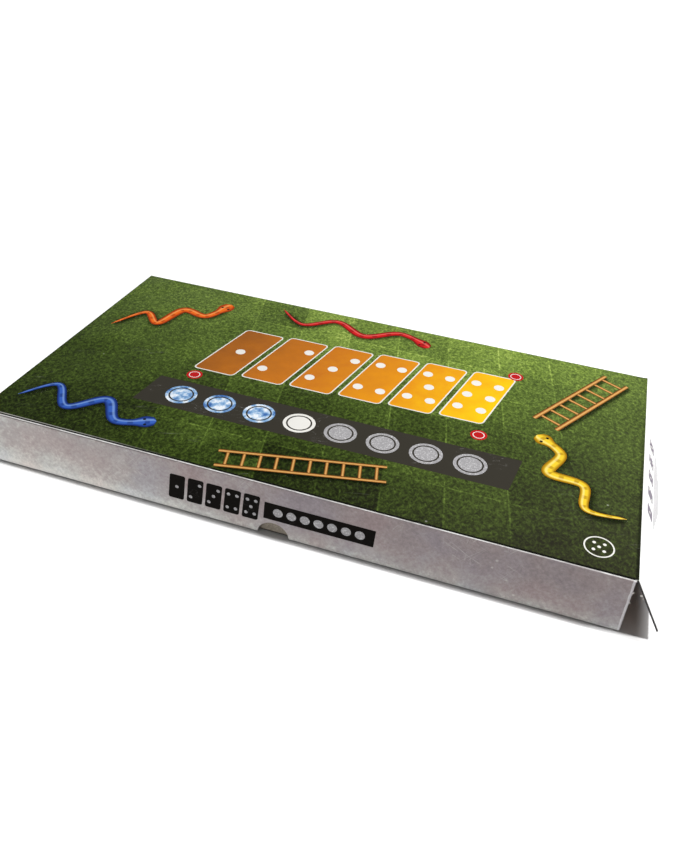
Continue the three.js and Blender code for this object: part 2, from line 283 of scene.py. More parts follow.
def grass_print(low, high):
    """Turf under a painted pool of light, with a faint squared field, a dark border, wear along the folds
    and a painted highlight behind the front fold.
    """
    grass = Finish("lid_grass_print", **PRINT)
    x, y, z = grass.xyz
    blades = [grass.streaks((0, 0, turn), (210, 520, 1), 2.0, 0.6) for turn in BLADE_TURNS]
    blades = [grass.step(blade, 0.46, 0.72) for blade in blades]
    felt = grass.noise(330.0, 3.0, 0.7)
    patches = grass.noise(19.0, 4.0, 0.6)
    turf = (blades[0].most(blades[1]).most(blades[2]) - 0.4) * 0.5 + (felt - 0.5) * 1.5
    # Painted light: a bright pool toward the back right that fades toward the front and left. It is partly
    # the print's own darker edges and partly light and sheen on the film, painted in. The left end is also
    # painted a little lighter.
    light_pool = ((x - LIGHT_POOL_PLACE[0]) / LIGHT_POOL_REACH[0]) ** 2 + ((y - LIGHT_POOL_PLACE[1]) / LIGHT_POOL_REACH[1]) ** 2
    light = 0.82 - light_pool ** 0.5 * 0.62 + grass.step(0 - x, 0.05, 0.22) * 0.05
    tone = light + turf * (0.48 + light * 0.08) + (patches - 0.5) * 0.36
    squares_x = (x + y * FIELD_LEAN) / FIELD_SQUARE[0]
    squares_y = y / FIELD_SQUARE[1]
    cell = grass.chance(grass.gather(squares_x.floor(), squares_y.floor()))
    rules = grass.step(abs(squares_x % 1 - 0.5).most(abs(squares_y % 1 - 0.5)), 0.478, 0.494)
    rules = rules * grass.step(grass.noise(40.0, 3.0), 0.34, 0.56)
    field = 1 - grass.step(abs(x - 0.03), 0.11, 0.2)
    tone = tone + ((cell - 0.5) * 0.22 + rules * 0.17) * field
    colour = grass.ramp(
        tone,
        (0.0, (20, 26, 8)),
        (0.2, (44, 56, 20)),
        (0.42, (70, 88, 34)),
        (0.64, (104, 126, 54)),
        (0.84, (138, 162, 70)),
        (1.0, (184, 200, 108)),
    )
    colour = grass.mix(grass.step(x - y * 0.6, 0.02, 0.3) * 0.2, colour, (84, 76, 70))
    front = y - low.y
    right = high.x - x
    sides = (high.y - y).least(x - low.x)
    dark_right = (1 - grass.step(right, 0.3 * MM, 1.4 * MM)) * (0.8 - grass.step(y, -0.13, 0.1) * 0.7)
    border = (1 - grass.step(front, 1.8 * MM, 2.5 * MM)).most(1 - grass.step(sides, 0.9 * MM, 1.6 * MM))
    colour = grass.mix(border.most(dark_right) * 0.94, colour, INK_BLACK)
    wear_and_highlight = grass.worn(front.least(sides) - 0.45 * MM, -1.1 * MM, 0.7 * MM)
    wear_and_highlight = wear_and_highlight * grass.step(right, 0.5 * MM, 1.5 * MM)
    wear_and_highlight = wear_and_highlight.most(grass.worn(front.most(right), 0.4 * MM, 1.3 * MM))
    # Painted highlight: a pale line just behind the front fold at the left end, where the rounded crease
    # catches the light. It is added in with the worn white.
    crease_highlight = (1 - grass.step(abs(front - 2.3 * MM), 0.2 * MM, 0.6 * MM)) * grass.step(0 - x, 0.06, 0.2)
    wear_and_highlight = wear_and_highlight.most(crease_highlight * (0.2 + patches * 0.6))
    nick = grass.specks(47.0, 0.025, 0.05) * grass.step(grass.noise(12.0), 0.6, 0.66)
    colour = grass.mix(wear_and_highlight.most(nick * 0.28), colour, WHITE_PAPER)
    colour = grass.mix(grass.scratches((0, 0, 0.35), 0.006) * 0.07, colour, WHITE_PAPER)
    return grass.laminate(colour)


def silver_print(low, high):
    """Silver-grey ink on the lid's walls: mottled, rubbed, scratched and cracked white at the folds. It has
    painted light that makes it lighter toward the left end and the foot, and a painted highlight along the
    end folds.
    """
    silver = Finish("lid_silver_print", **PRINT)
    x, y, z = silver.xyz
    grain = silver.noise(520.0, 3.0, 0.65)
    rubbed = silver.streaks((0, 0.9, 0.2), (60, 90, 330)) + silver.streaks((0, -0.75, -0.2), (70, 90, 300))
    tone = silver.noise(48.0, 6.0, 0.62) * 0.36 + (grain - 0.5) * 0.55 + rubbed * 0.2 + 0.09
    # Painted light: the wall is painted lighter toward its left end, where more light falls.
    tone = tone - silver.step(x, -0.21, 0.05) * 0.275
    # Painted light: the wall is painted lighter toward its foot, standing in for light thrown up from the
    # floor.
    tone = tone + silver.step(0.03 - z, 0, 0.03) * 0.18 + silver.step(0.01 - z, 0, 0.009) * 0.16
    colour = silver.ramp(
        tone,
        (0.0, (140, 129, 130)),
        (0.25, (164, 152, 152)),
        (0.48, (184, 177, 175)),
        (0.62, (204, 202, 197)),
        (0.82, (232, 229, 223)),
    )
    hues = ((0.36, (254, 247, 246)), (0.5, (250, 252, 252)), (0.64, (240, 246, 255)))
    colour = silver.mix(0.7, colour, silver.ramp(silver.noise(23.0, 3.0), *hues), "MULTIPLY")
    lines = silver.scratches((0, 0.5, 0), 0.008).most(silver.scratches((0, -0.9, 0), 0.006))
    lines = lines.most(silver.scratches((0, 1.7, 0.3), 0.005))
    specks = silver.specks(105.0, 0.07, 0.13) * silver.step(silver.noise(31.0), 0.55, 0.62)
    colour = silver.mix(lines * 0.4, colour, WHITE_PAPER)
    colour = silver.mix(specks * 0.4, colour, WHITE_PAPER)
    # Pale strip along the wall's ends: worn board, and a painted highlight where the rounded end folds
    # catch the light.
    left_edge = (x - low.x).most(high.y - abs(y))
    corner = silver.worn((high.x - x).least(left_edge), 0.6 * MM, 3.0 * MM)
    colour = silver.mix(corner * 0.8, colour, (218, 216, 218))
    cracked = silver.step(silver.streaks((0, 0, 0), (70, 70, 9), 4.0, 0.7), 0.36, 0.6)
    fold = silver.worn(high.z - z, 0.5 * MM, 1.2 * MM) * (0.42 + cracked * 0.5)
    foot = silver.worn(z - low.z, -1.2 * MM, 0.5 * MM)
    return silver.laminate(silver.mix(fold.most(foot * 0.5), colour, (250, 250, 248)))


def board_finish(name, dark, middle, pale):
    """Bare carton board, with the fibres and flecks of the waste paper that it is made from."""
    board = Finish(name, Specular_IOR_Level=0.15)
    fibre = board.streaks((0.2, 0.3, 0.5), (300, 1500, 900))
    other = board.streaks((0.1, -0.4, -0.7), (330, 1400, 950))
    tone = board.noise(30.0, 5.0, 0.6) * 0.5 + fibre * 0.3 + other * 0.3 - 0.05
    colour = board.ramp(tone, (0.3, dark), (0.5, middle), (0.72, pale))
    fleck = board.specks(420.0, 0.14, 0.22) * board.step(board.noise(190.0), 0.56, 0.62)
    colour = board.mix(fleck * 0.55, colour, dark)
    return board.close(colour, 0.82 + fibre * 0.12, fibre + other, 0.5, 0.08 * MM)


def torn_board():
    """Where glued paper has pulled away: pale torn fibres, brown glue and the grey board under them."""
    torn = Finish("torn_glue_board", Specular_IOR_Level=0.15)
    fibre = torn.streaks((0.3, 0.2, 0.4), (260, 260, 1300), 4.0, 0.7)
    strip = torn.noise(95.0, 5.0, 0.7)
    glue = torn.step(torn.noise(44.0, 3.0), 0.52, 0.6)
    ripped = torn.step(torn.noise(70.0, 4.0, 0.6) + (fibre - 0.5) * 0.3, 0.6, 0.66)
    browns = ((0.4, (98, 74, 60)), (0.55, (126, 100, 83)), (0.7, (154, 129, 110)))
    colour = torn.ramp(strip * 0.65 + fibre * 0.4, *browns)
    colour = torn.mix(glue * 0.35, colour, (118, 96, 72))
    colour = torn.mix(ripped * 0.85, colour, (226, 221, 212))
    return torn.close(colour, 0.7 + fibre * 0.25, strip + fibre, 0.9, 0.3 * MM)


def flat_ink(name, colour, sparkle=0.0):
    ink = Finish(name, **PRINT)
    grain = ink.noise(850.0, 3.0, 0.65)
    shown = ink.mix(ink.noise(60.0, 3.0) * 0.6 + grain * 0.3, colour, paint(colour, 0.82))
    if sparkle:
        shown = ink.mix(ink.step(grain, 0.5, 0.7) * sparkle, shown, (250, 250, 250))
    return ink.laminate(ink.mix(ink.scratches((0.2, 0.3, 0.35), 0.006) * 0.25, shown, WHITE_PAPER))


def sky_ink():
    ink = Finish("counter_sky_ink", **PRINT)
    blues = ((0.36, (62, 104, 168)), (0.48, (140, 178, 216)), (0.6, (236, 242, 248)))
    return ink.laminate(ink.ramp(ink.noise(130.0, 5.0, 0.6), *blues))


def gold_ink():
    """Burnt orange that turns to gold along the row of tiles."""
    gold = Finish("tile_gold_ink", **PRINT)
    x, y, z = gold.xyz
    tone = x / 0.26 + 0.5 - y * 1.2 + (gold.noise(55.0, 4.0, 0.6) - 0.5) * 0.3
    golds = ((0.0, (150, 88, 34)), (0.35, (196, 116, 34)), (0.65, (224, 146, 28)), (0.95, (244, 196, 26)))
    return gold.laminate(gold.ramp(tone, *golds))


def snake_ink(name, back, flank, sheen):
    """A round-looking printed body: dark flanks, a pale ridge and saddles along the back."""
    ink = Finish(name, **PRINT)
    along, across = ink.length_and_width()
    side = abs(across - 0.5) * 2
    saddle = ink.step((along * 88).sine(), 0.25, 0.75) * (1 - ink.step(side, 0.2, 0.75))
    ridge = 1 - ink.step(abs(across - 0.66), 0.03, 0.16)
    colour = ink.mix(ink.step(side, 0.25, 1.0), back, flank)
    colour = ink.mix(saddle * 0.6, colour, flank)
    return ink.laminate(ink.mix(ridge * 0.45, colour, sheen))


def wood_ink():
    """Printed timber: rounded poles with a grain along them."""
    ink = Finish("ladder_wood_ink", **PRINT)
    along, across = ink.length_and_width()
    grain = ink.noise(3.0, 3.0, at=ink.gather(along * 9, across * 16))
    tone = abs(across - 0.45) * 1.8 + (grain - 0.5) * 0.7
    woods = ((0.0, (226, 178, 110)), (0.35, (190, 132, 66)), (0.75, (112, 68, 30)), (1.0, (50, 30, 14)))
    return ink.laminate(ink.ramp(tone, *woods))


def shadow_ink():
    ink = Finish("printed_shadow_ink", Roughness=0.4, **PRINT)
    along, across = ink.length_and_width()
    side = abs(across - 0.5) * 2
    ends = ink.step(along, 0.0, 0.06) * ink.step(1 - along, 0.0, 0.06)
    ink.link("Alpha", (1 - ink.step(side, 0.1, 1.0)) * ends * 0.62)
    return ink.close(ink.ramp(side, (0, (14, 20, 8)), (1, (20, 28, 12))))


def plastic(name, colour, rub):
    """Moulded plastic with finger marks, fine scratches and a paler rub."""
    shell = Finish(name, Specular_IOR_Level=0.5, Coat_Roughness=0.12)
    marks = shell.noise(260.0, 3.0)
    lines = shell.scratches((0.4, 0.2, 0.5), 0.012)
    shown = shell.mix(shell.step(shell.noise(95.0, 4.0, 0.6), 0.4, 0.65), colour, paint(colour, 0.8))
    shown = shell.mix(lines * 0.3, shown, rub)
    return shell.close(shown, 0.2 + marks * 0.16 + lines * 0.3, marks, 0.12, 0.1 * MM)


def leaf_print(leaf):
    """The playing face: ten columns of tinted squares, ruled in white inside a dark border."""
    squares = Finish("board_squares_" + leaf, **PRINT)
    x, y, z = squares.xyz
    columns = (x - grid_left) / grid_column
    rows = (hinge.y - TAPE_COVER - y) / grid_row
    climb = LEAF_ROWS - 1 - rows.floor() if leaf == "lower" else LEAF_ROWS + rows.floor()
    colour = squares.ramp(
        (columns.floor() + climb * 3) % 5 / 5 + 0.1,
        (0.0, (240, 226, 176)),
        (0.2, (146, 186, 98)),
        (0.4, (236, 170, 84)),
        (0.6, (150, 194, 214)),
        (0.8, (226, 122, 96)),
    )
    colour.socket.node.color_ramp.interpolation = "CONSTANT"
    colour = squares.mix(squares.noise(70.0, 5.0, 0.6) * 0.28, colour, (250, 246, 228))
    rule = squares.step(abs(columns % 1 - 0.5).most(abs(rows % 1 - 0.5)), 0.484, 0.49)
    colour = squares.mix(rule, colour, (248, 246, 238))
    outside = (columns < 0).most(columns > COLUMNS).most(rows < 0).most(rows > LEAF_ROWS)
    colour = squares.mix(outside, colour, (44, 78, 40))
    rubbed = squares.worn(leaf_high.x - 2.2 * MM - abs(x), -1.5 * MM, 2 * MM)
    return squares.laminate(squares.mix(rubbed * 0.35, colour, WHITE_PAPER))


def wrap_paper():
    """Embossed dark green wrap on the board's backs and edges, rubbed pale on its corners."""
    wrap = Finish("board_wrap_paper", Specular_IOR_Level=0.3)
    x, y, z = wrap.xyz
    threads = (x * 5200).sine() * 0.5 + (y * 5200).sine() * 0.5
    cloud = wrap.noise(24.0, 4.0)
    colour = wrap.ramp(cloud, (0.3, (30, 58, 40)), (0.7, (46, 80, 54)))
    edge = (leaf_high.x - abs(x)).least(leaf_high.y - y).least(y - leaf_low.y)
    colour = wrap.mix(wrap.worn(edge, -0.5 * MM, 1.3 * MM) * 0.7, colour, (176, 170, 152))
    return wrap.close(colour, 0.52 + cloud * 0.15, threads, 0.3, 0.06 * MM)


def hinge_cloth():
    cloth = Finish("hinge_cloth", Specular_IOR_Level=0.2)
    x, y, z = cloth.xyz
    weave = (x * 7000).sine() * (y * 7000).sine()
    worn = cloth.noise(130.0, 4.0)
    colour = cloth.ramp(weave * 0.2 + worn, (0.3, (28, 30, 30)), (0.75, (78, 80, 76)))
    return cloth.close(colour, 0.8 + worn * 0.15, weave, 0.4, 0.05 * MM)


def leaflet_paper(low, high):
    """White paper with three columns of grey lines under a coloured heading bar."""
    paper = Finish("rules_paper", Specular_IOR_Level=0.2)
    x, y, z = paper.xyz
    lines = (high.y - y) / (3.4 * MM)
    across = (x - low.x) / (high.x - low.x)
    column = across * 3
    ragged = paper.chance(paper.gather(lines.floor(), column.floor())) * 0.22
    inside = (column % 1 > 0.1) * (column % 1 < 0.92 - ragged)
    text = (lines % 1 > 0.5) * inside * (lines > 6) * (lines < 28)
    words = paper.step(paper.noise(1.0, at=paper.gather(x * 420, lines.floor())), 0.36, 0.4)
    heading = (lines > 2) * (lines < 4.5) * (across > 0.04) * (across < 0.96)
    colour = paper.mix(paper.noise(20.0, 4.0) * 0.5, (242, 240, 232), (226, 222, 208))
    colour = paper.mix(text * words * 0.62, colour, (70, 70, 72))
    colour = paper.mix(heading * 0.8, colour, (74, 110, 50))
    crinkle = paper.noise(120.0, 3.0)
    return paper.close(colour, 0.7 + crinkle * 0.15, crinkle, 0.3, 0.12 * MM)


# Studio: camera, floor and light.

PHOTO_LONG_SIDE = 852
FOCAL_PIXELS = 838.95
SENSOR = 36.0
CAMERA_PLACE = Vector((0.16057, -0.54663, 0.40953))
CAMERA_AIM = Vector((-0.2314, 0.80346, -0.54855))
CAMERA_ROLL = math.radians(4.133)
FRAMING_SHIFT = (-0.0036, -0.0284)
NEAREST_SEEN = 0.01
SOFT_LIGHT = 0.16
LAMP_AIM = Vector((0.05, 0, 0))
LAMPS = {
    "key": ((1.1, 0.02, 1.75), 0.2, 46.0),
    "low": ((-0.6, -1.0, 0.045), 0.07, 3.8),
}
FLOOR_SIZE = 9
FLOOR_GREY = (0.76, 0.76, 0.76, 1)


def seen_white(finish):
    """One where a ray comes straight from the camera or off a gloss, so that the studio shows white."""
    rays = finish.node("LightPath").socket.node
    kinds = ("Is Camera Ray", "Is Glossy Ray", "Is Transmission Ray")
    seen, mirrored, through = (Ink(finish, rays.outputs[kind]) for kind in kinds)
    return seen.most(mirrored).most(through)


def floor_finish():
    """A pale floor that keeps the shadow at the box's foot and is lifted to white around it."""
    constants = {"Base_Color": FLOOR_GREY, "Emission_Strength": 1.0, "Roughness": 1.0}
    ground = Finish("studio_floor", Specular_IOR_Level=0.0, **constants)
    x, y, z = ground.xyz
    beside = (abs(y) - lid_box[1].y).most(lid_box[0].x - 2 * MM - x)
    right = x - lid_box[1].x
    # Painted light: the floor's camera-seen glow begins a few millimetres out from the box, which sets how
    # wide its shadow looks, and it begins sooner at the left end. On the right it reaches in under the end
    # flap and lightens the outer part of the shadow there.
    clear = beside + ground.step(0 - x, 0.08, 0.24) * 1.6 * MM
    near_lift = ground.step(clear, 3 * MM, 6 * MM).most(ground.step(right, 9 * MM, 26 * MM))
    far_lift = ground.step(beside.most(right), 0.1, 1.0)
    lift = seen_white(ground) * (near_lift * 0.45 + far_lift * 0.5)
    ground.link("Emission Color", ground.gather(lift, lift, lift))
    return ground.owner


def photo_camera():
    aim = CAMERA_AIM.normalized()
    level = aim.cross(Vector((0, 0, 1))).normalized()
    right = level * math.cos(CAMERA_ROLL) + level.cross(aim) * math.sin(CAMERA_ROLL)
    turn = Matrix((right, right.cross(aim), -aim)).transposed()
    bpy.ops.object.camera_add(location=CAMERA_PLACE, rotation=turn.to_euler())
    camera = bpy.context.object
    camera.data.sensor_width = SENSOR
    camera.data.lens = FOCAL_PIXELS * SENSOR / PHOTO_LONG_SIDE
    camera.data.shift_x, camera.data.shift_y = FRAMING_SHIFT
    camera.data.clip_start = NEAREST_SEEN
    bpy.context.scene.camera = camera


def studio():
    scene = bpy.context.scene
    scene.view_settings.view_transform = "Standard"
    scene.world = bpy.data.worlds.new("studio")
    sky = Finish("studio", scene.world)
    sky.tree.nodes.clear()
    light = sky.node("Background", sockets={"Strength": SOFT_LIGHT, "Color": WHITE_LIGHT})
    white = sky.node("Background", sockets={"Strength": 1.0, "Color": WHITE_LIGHT})
    mixed = sky.node("MixShader", sockets={0: seen_white(sky), 1: light, 2: white})
    end = sky.tree.nodes.new("ShaderNodeOutputWorld")
    sky.tree.links.new(mixed.socket, end.inputs["Surface"])
    for name, (place, size, watts) in LAMPS.items():
        turn = (LAMP_AIM - Vector(place)).to_track_quat("-Z", "Y").to_euler()
        bpy.ops.object.light_add(type="AREA", location=place, rotation=turn)
        lamp = bpy.context.object
        lamp.name = name
        lamp.data.size = size
        lamp.data.energy = watts
    ground = add(bpy.ops.mesh.primitive_plane_add, "studio_ground", size=FLOOR_SIZE)
    move(ground, 0, 0, -WALL_DROP)
    finished(ground, floor_finish())


# Hand tools for shaping a piece.


def near(first, second):
    return abs(first - second) < NEAR


def arc(start, end, count):
    return [start + (end - start) * i / count for i in range(count + 1)]


def named(piece, name):
    piece.name = name
    piece.data.name = name
    return piece


def add(primitive, name, **measures):
    """A new piece from a primitive, with nothing else selected."""
    bpy.ops.object.select_all(action="DESELECT")
    primitive(**measures)
    return named(bpy.context.object, name)


def grid(name, x_cells, y_cells):
    cells = {"x_subdivisions": x_cells, "y_subdivisions": y_cells}
    return add(bpy.ops.mesh.primitive_grid_add, name, size=1, **cells)


def circle(name, sides, radius):
    measures = {"vertices": sides, "radius": radius, "fill_type": "NGON"}
    return add(bpy.ops.mesh.primitive_circle_add, name, **measures)


def sheet(name, low, high, level):
    """A flat sheet between two corners, left open to be shaped."""
    piece = add(bpy.ops.mesh.primitive_plane_add, name, size=1)
    open_piece(piece)
    resize(high.x - low.x, high.y - low.y, 1)
    shift((low.x + high.x) / 2, (low.y + high.y) / 2, level)
    return piece


def move(piece, x, y, z):
    piece.data.transform(Matrix.Translation((x, y, z)))


def work_on(*pieces):
    bpy.ops.object.select_all(action="DESELECT")
    for piece in pieces:
        piece.select_set(True)
    bpy.context.view_layer.objects.active = pieces[0]


def open_piece(piece):
    """Opens a piece in edit mode, with all of it selected."""
    work_on(piece)
    bpy.ops.object.mode_set(mode="EDIT")
    pick_all()


def close_piece():
    bpy.ops.object.mode_set(mode="OBJECT")


def pick_all():
    bpy.ops.mesh.select_all(action="SELECT")


def pick(piece, kind, wanted):
    """Selects the vertices, edges or faces of the open piece whose middle is wanted."""
    bpy.ops.mesh.select_mode(type=kind)
    bpy.ops.mesh.select_all(action="DESELECT")
    mesh = bmesh.from_edit_mesh(piece.data)
    for part in {"VERT": mesh.verts, "EDGE": mesh.edges, "FACE": mesh.faces}[kind]:
        points = [part] if kind == "VERT" else part.verts
        if wanted(sum((point.co for point in points), Vector()) / len(points)):
            part.select_set(True)
    bmesh.update_edit_mesh(piece.data)


def extrude(x, y, z):
    bpy.ops.mesh.extrude_region_move(TRANSFORM_OT_translate={"value": (x, y, z)})


def resize(x, y, z, about=(0, 0, 0)):
    bpy.ops.transform.resize(value=(x, y, z), center_override=about)


def shift(x, y, z):
    bpy.ops.transform.translate(value=(x, y, z))


def bevel(offset, segments, affect="EDGES", clamp=False):
    bpy.ops.mesh.bevel(offset=offset, segments=segments, affect=affect, clamp_overlap=clamp)


def face_out():
    """Turns the open piece's faces outward."""
    pick_all()
    bpy.ops.mesh.normals_make_consistent(inside=False)


def apply_modifier(piece, kind, **settings):
    work_on(piece)
    modifier = piece.modifiers.new(kind.lower(), kind)
    for name, value in settings.items():
        setattr(modifier, name, value)
    bpy.ops.object.modifier_apply(modifier=modifier.name)


def thicken(piece, card, offset=-1, inner=0, rim=0):
    settings = {"use_even_offset": True, "material_offset": inner, "material_offset_rim": rim}
    apply_modifier(piece, "SOLIDIFY", thickness=card, offset=offset, **settings)


def cut_away(piece, cutter, **settings):
    settings.update(object=cutter, operation="DIFFERENCE", solver="EXACT")
    apply_modifier(piece, "BOOLEAN", **settings)
    bpy.data.objects.remove(cutter)


def smooth(piece, degrees=35):
    work_on(piece)
    bpy.ops.object.shade_smooth_by_angle(angle=math.radians(degrees))


def joined(name, pieces):
    work_on(*pieces)
    if len(pieces) > 1:
        bpy.ops.object.join()
    return named(bpy.context.object, name)


def finished(piece, *finishes):
    for finish in finishes:
        piece.data.materials.append(finish)
    return piece


def sort_faces(piece, choose):
    """Gives each face the finish that choose names by its middle, its normal and what it has."""
    for face in piece.data.polygons:
        face.material_index = choose(face.center, face.normal, face.material_index)


def outward(piece, right_way):
    """Turns an open sheet's faces to one side, the one for which right_way holds."""
    open_piece(piece)
    face_out()
    close_piece()
    if not any(right_way(face.center, face.normal) for face in piece.data.polygons):
        open_piece(piece)
        bpy.ops.mesh.flip_normals()
        close_piece()


def carried(piece, body, slot, *nodes):
    """Sets a finished piece on its body and hides the solids that it stands for; slot is not used."""
    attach(piece, body)
    if nodes:
        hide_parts(*nodes)


# Cartons: the lid, its loose end flap and the tray.


def folded_carton(name, low, high, level, reach, closed):
    """A sheet folded up from its blank: a panel, two long walls, end walls and four glue tabs."""
    carton = sheet(name, low, high, level)
    relief = math.copysign(WALL_RELIEF, reach)
    sides = (low.y, high.y)
    ends = {low.x: CARD * closed[0], high.x: -CARD * closed[1]}
    for side in sides:
        pick(carton, "EDGE", lambda at: near(at.y, side))
        extrude(0, 0, relief)
        extrude(0, 0, reach - relief)
    for end, inward in ends.items():
        if inward:
            pick(carton, "VERT", lambda at: near(at.x, end) and not near(at.z, level))
            shift(inward, 0, 0)
            pick(carton, "EDGE", lambda at: near(at.x, end) and near(at.z, level))
            extrude(0, 0, reach)
    middle = level + (relief + reach) / 2
    taper = 1 - 2 * TAB_TAPER / abs(reach - relief)

    def on_side(at):
        return any(near(at.y, side) for side in sides)

    def tab_fold(at):
        on_end = any(near(at.x, end + inward) for end, inward in ends.items())
        return on_end and near(at.z, middle) and on_side(at)

    def panel_fold(at):
        on_end = any(inward and near(at.x, end) for end, inward in ends.items())
        return near(at.z, level) and (on_end or on_side(at))

    for end, inward in ends.items():
        for side in sides:
            pick(carton, "EDGE", lambda at: tab_fold(at) and near(at.x, end + inward) and near(at.y, side))
            extrude(0, -math.copysign(GLUE_TAB, side), 0)
            resize(1, 1, taper, (0, 0, middle))
    pick(carton, "EDGE", lambda at: panel_fold(at) or tab_fold(at))
    bevel(CREASE, CREASE_STEPS, clamp=True)
    close_piece()
    up = -math.copysign(1, reach)
    outward(carton, lambda at, normal: near(at.z, level) and normal.z * up > 0.9)
    return carton


def lid_carton():
    low = Vector((lid_low.x, lid_low.y, wall_low.z - WALL_DROP))
    high = lid_high
    lid = folded_carton("lid_carton", low, high, high.z, low.z - high.z, (1, 0))
    finished(lid, grass, lid_inside, cut_edge, silver, torn)
    top_print, inside, cut, wall_print, torn_tab = range(5)
    thicken(lid, CARD, inner=inside, rim=cut)
    notch_z = wall_low.z - NOTCH_SINK
    measures = {"vertices": 72, "radius": NOTCH_RADIUS, "depth": 10 * CARD, "rotation": (QUARTER, 0, 0)}
    for wall in (low.y, high.y):
        cutter = add(bpy.ops.mesh.primitive_cylinder_add, "notch_cutter", **measures)
        cutter.location = (NOTCH_SLIP, wall, notch_z)
        cut_away(lid, cutter, use_self=True)

    def choose(at, normal, held):
        in_notch = math.hypot(at.x - NOTCH_SLIP, at.z - notch_z) < NOTCH_RADIUS + NEAR
        if abs(normal.y) < 0.3 and in_notch and at.z < NOTCH_RADIUS:
            return cut
        if held:
            return held
        if normal.z > 0.8:
            return top_print
        on_tab = abs(at.y) < high.y - 2 * CREASE and abs(normal.x) > 0.9
        return torn_tab if on_tab and at.x > 0 else wall_print

    sort_faces(lid, choose)
    smooth(lid)
    nodes = [name for name in frame["nodes"] if name.startswith("lid_") and name != "lid_end_flap"]
    carried(lid, "lid", "lid_print", *nodes)


def tray_carton():
    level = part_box("tray_floor")[0].z
    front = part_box("tray_front_wall")
    low = Vector((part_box("tray_left_wall")[0].x, front[0].y, 0))
    high = Vector((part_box("tray_right_wall")[1].x, -front[0].y, 0))
    tray = folded_carton("tray_carton", low, high, level, front[1].z - level, (1, 1))
    finished(tray, grey_board, tray_lining, cut_edge)
    thicken(tray, CARD, inner=1, rim=2)
    smooth(tray)
    carried(tray, "tray", "grey_board", *[name for name in frame["nodes"] if name.startswith("tray_")])


def flap_face(across, down):
    """A point on the outer face of the end flap as it hangs straight down: it is a little bowed."""
    side = 2 * across / flap_width
    share = down / FLAP_LENGTH
    bow = FLAP_BOW * (math.sin(share * math.pi) * (1 - side ** 2) - 0.6 * share ** 2 * side)
    return Vector((CARD / 2 - SKIN + bow * 0.6, across, -down))


def end_flap():
    """The end wall that has come unglued, hanging out from its crease."""
    flap = grid("end_flap", 12, 36)
    reach = FLAP_LENGTH - SKIN - FLAP_TOP
    for vertex in flap.data.vertices:
        vertex.co = flap_face(vertex.co.y * flap_width, FLAP_TOP + (vertex.co.x + 0.5) * reach)
    outward(flap, lambda at, normal: normal.x > 0.9)
    finished(flap, white_panel, lid_inside, shaded_flap_edge, torn)
    inside, cut, torn_strip = 1, 2, 3
    thicken(flap, FLAP_CARD, inner=inside, rim=cut)
    apply_modifier(flap, "BEVEL", width=FLAP_ROUNDING, segments=2, limit_method="ANGLE")
    half = flap_width / 2

    def choose(at, normal, held):
        if abs(normal.y) > 0.3:
            return cut
        glued = half - GLUE_TAB < abs(at.y) < half - GLUE_EDGE
        glued = glued and TAB_TAPER / 2 - FLAP_LENGTH < at.z < -TAB_TAPER / 2
        return torn_strip if held == inside and glued else held

    sort_faces(flap, choose)
    flap.data.transform(hang)
    smooth(flap)
    carried(flap, "end_flap", "flap_white", "lid_end_flap")


def crease_paper():
    """The printed paper that runs on over the crease and holds the flap to the top panel."""
    paper = grid("crease_paper", 16, 40)
    radius = lid_box[1].z - flap_axis.z - CREASE_PAPER / 2
    flat = flap_axis.x - lid_high.x + CREASE_LAP
    bend = (QUARTER + hang_angle) * radius
    length = flat + bend + CREASE_LAP
    for vertex in paper.data.vertices:
        along = (vertex.co.x + 0.5) * length
        angle = QUARTER - min(max(along - flat, 0), bend) / radius
        out = Vector((math.cos(angle), 0, math.sin(angle)))
        way = Vector((math.sin(angle), 0, -math.cos(angle)))
        straight = min(along - flat, 0) + max(along - flat - bend, 0)
        across = Vector((0, vertex.co.y * flap_width, 0))
        vertex.co = flap_axis + out * radius + way * straight + across
    outward(paper, lambda at, normal: normal.z > 0.9)
    finished(paper, grass, white_panel)
    thicken(paper, CREASE_PAPER, offset=0)
    over = flap_axis.x + radius * 0.6
    steep = math.sin(math.radians(50))
    sort_faces(paper, lambda at, normal, held: int(at.x > over and normal.z < steep))
    smooth(paper, 60)
    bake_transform(paper)


def torn_fibres(place, body, root, reach, run, count, seed):
    """A tuft of torn paper: thin ragged slips that lift away from where the glue let go."""
    draw = random.Random(seed)
    slips = []
    for i in range(count):
        slip = grid("paper_slip", 6, 4)
        start = root + run * draw.random()
        length = draw.uniform(0.35, 1.0)
        width = draw.uniform(0.8, 2.6) * MM
        lift = Vector([draw.uniform(-1, 1) for axis in "xyz"]) * 0.7 * MM
        ragged = [draw.uniform(0.75, 1.2) for edge in range(5)]
        for vertex in slip.data.vertices:
            along = (vertex.co.x + 0.5) * ragged[round((vertex.co.y + 0.5) * 4)]
            narrow = width * (1 - 0.75 * min(along, 1)) * vertex.co.y
            vertex.co = start + reach * along * length + run.normalized() * narrow + lift * along ** 2
        slips.append(finished(slip, torn_paper))
    tuft = joined("torn_fibres_" + place, slips)
    thicken(tuft, TORN_PAPER, offset=0)
    smooth(tuft)
    carried(tuft, body, "lid_silver")


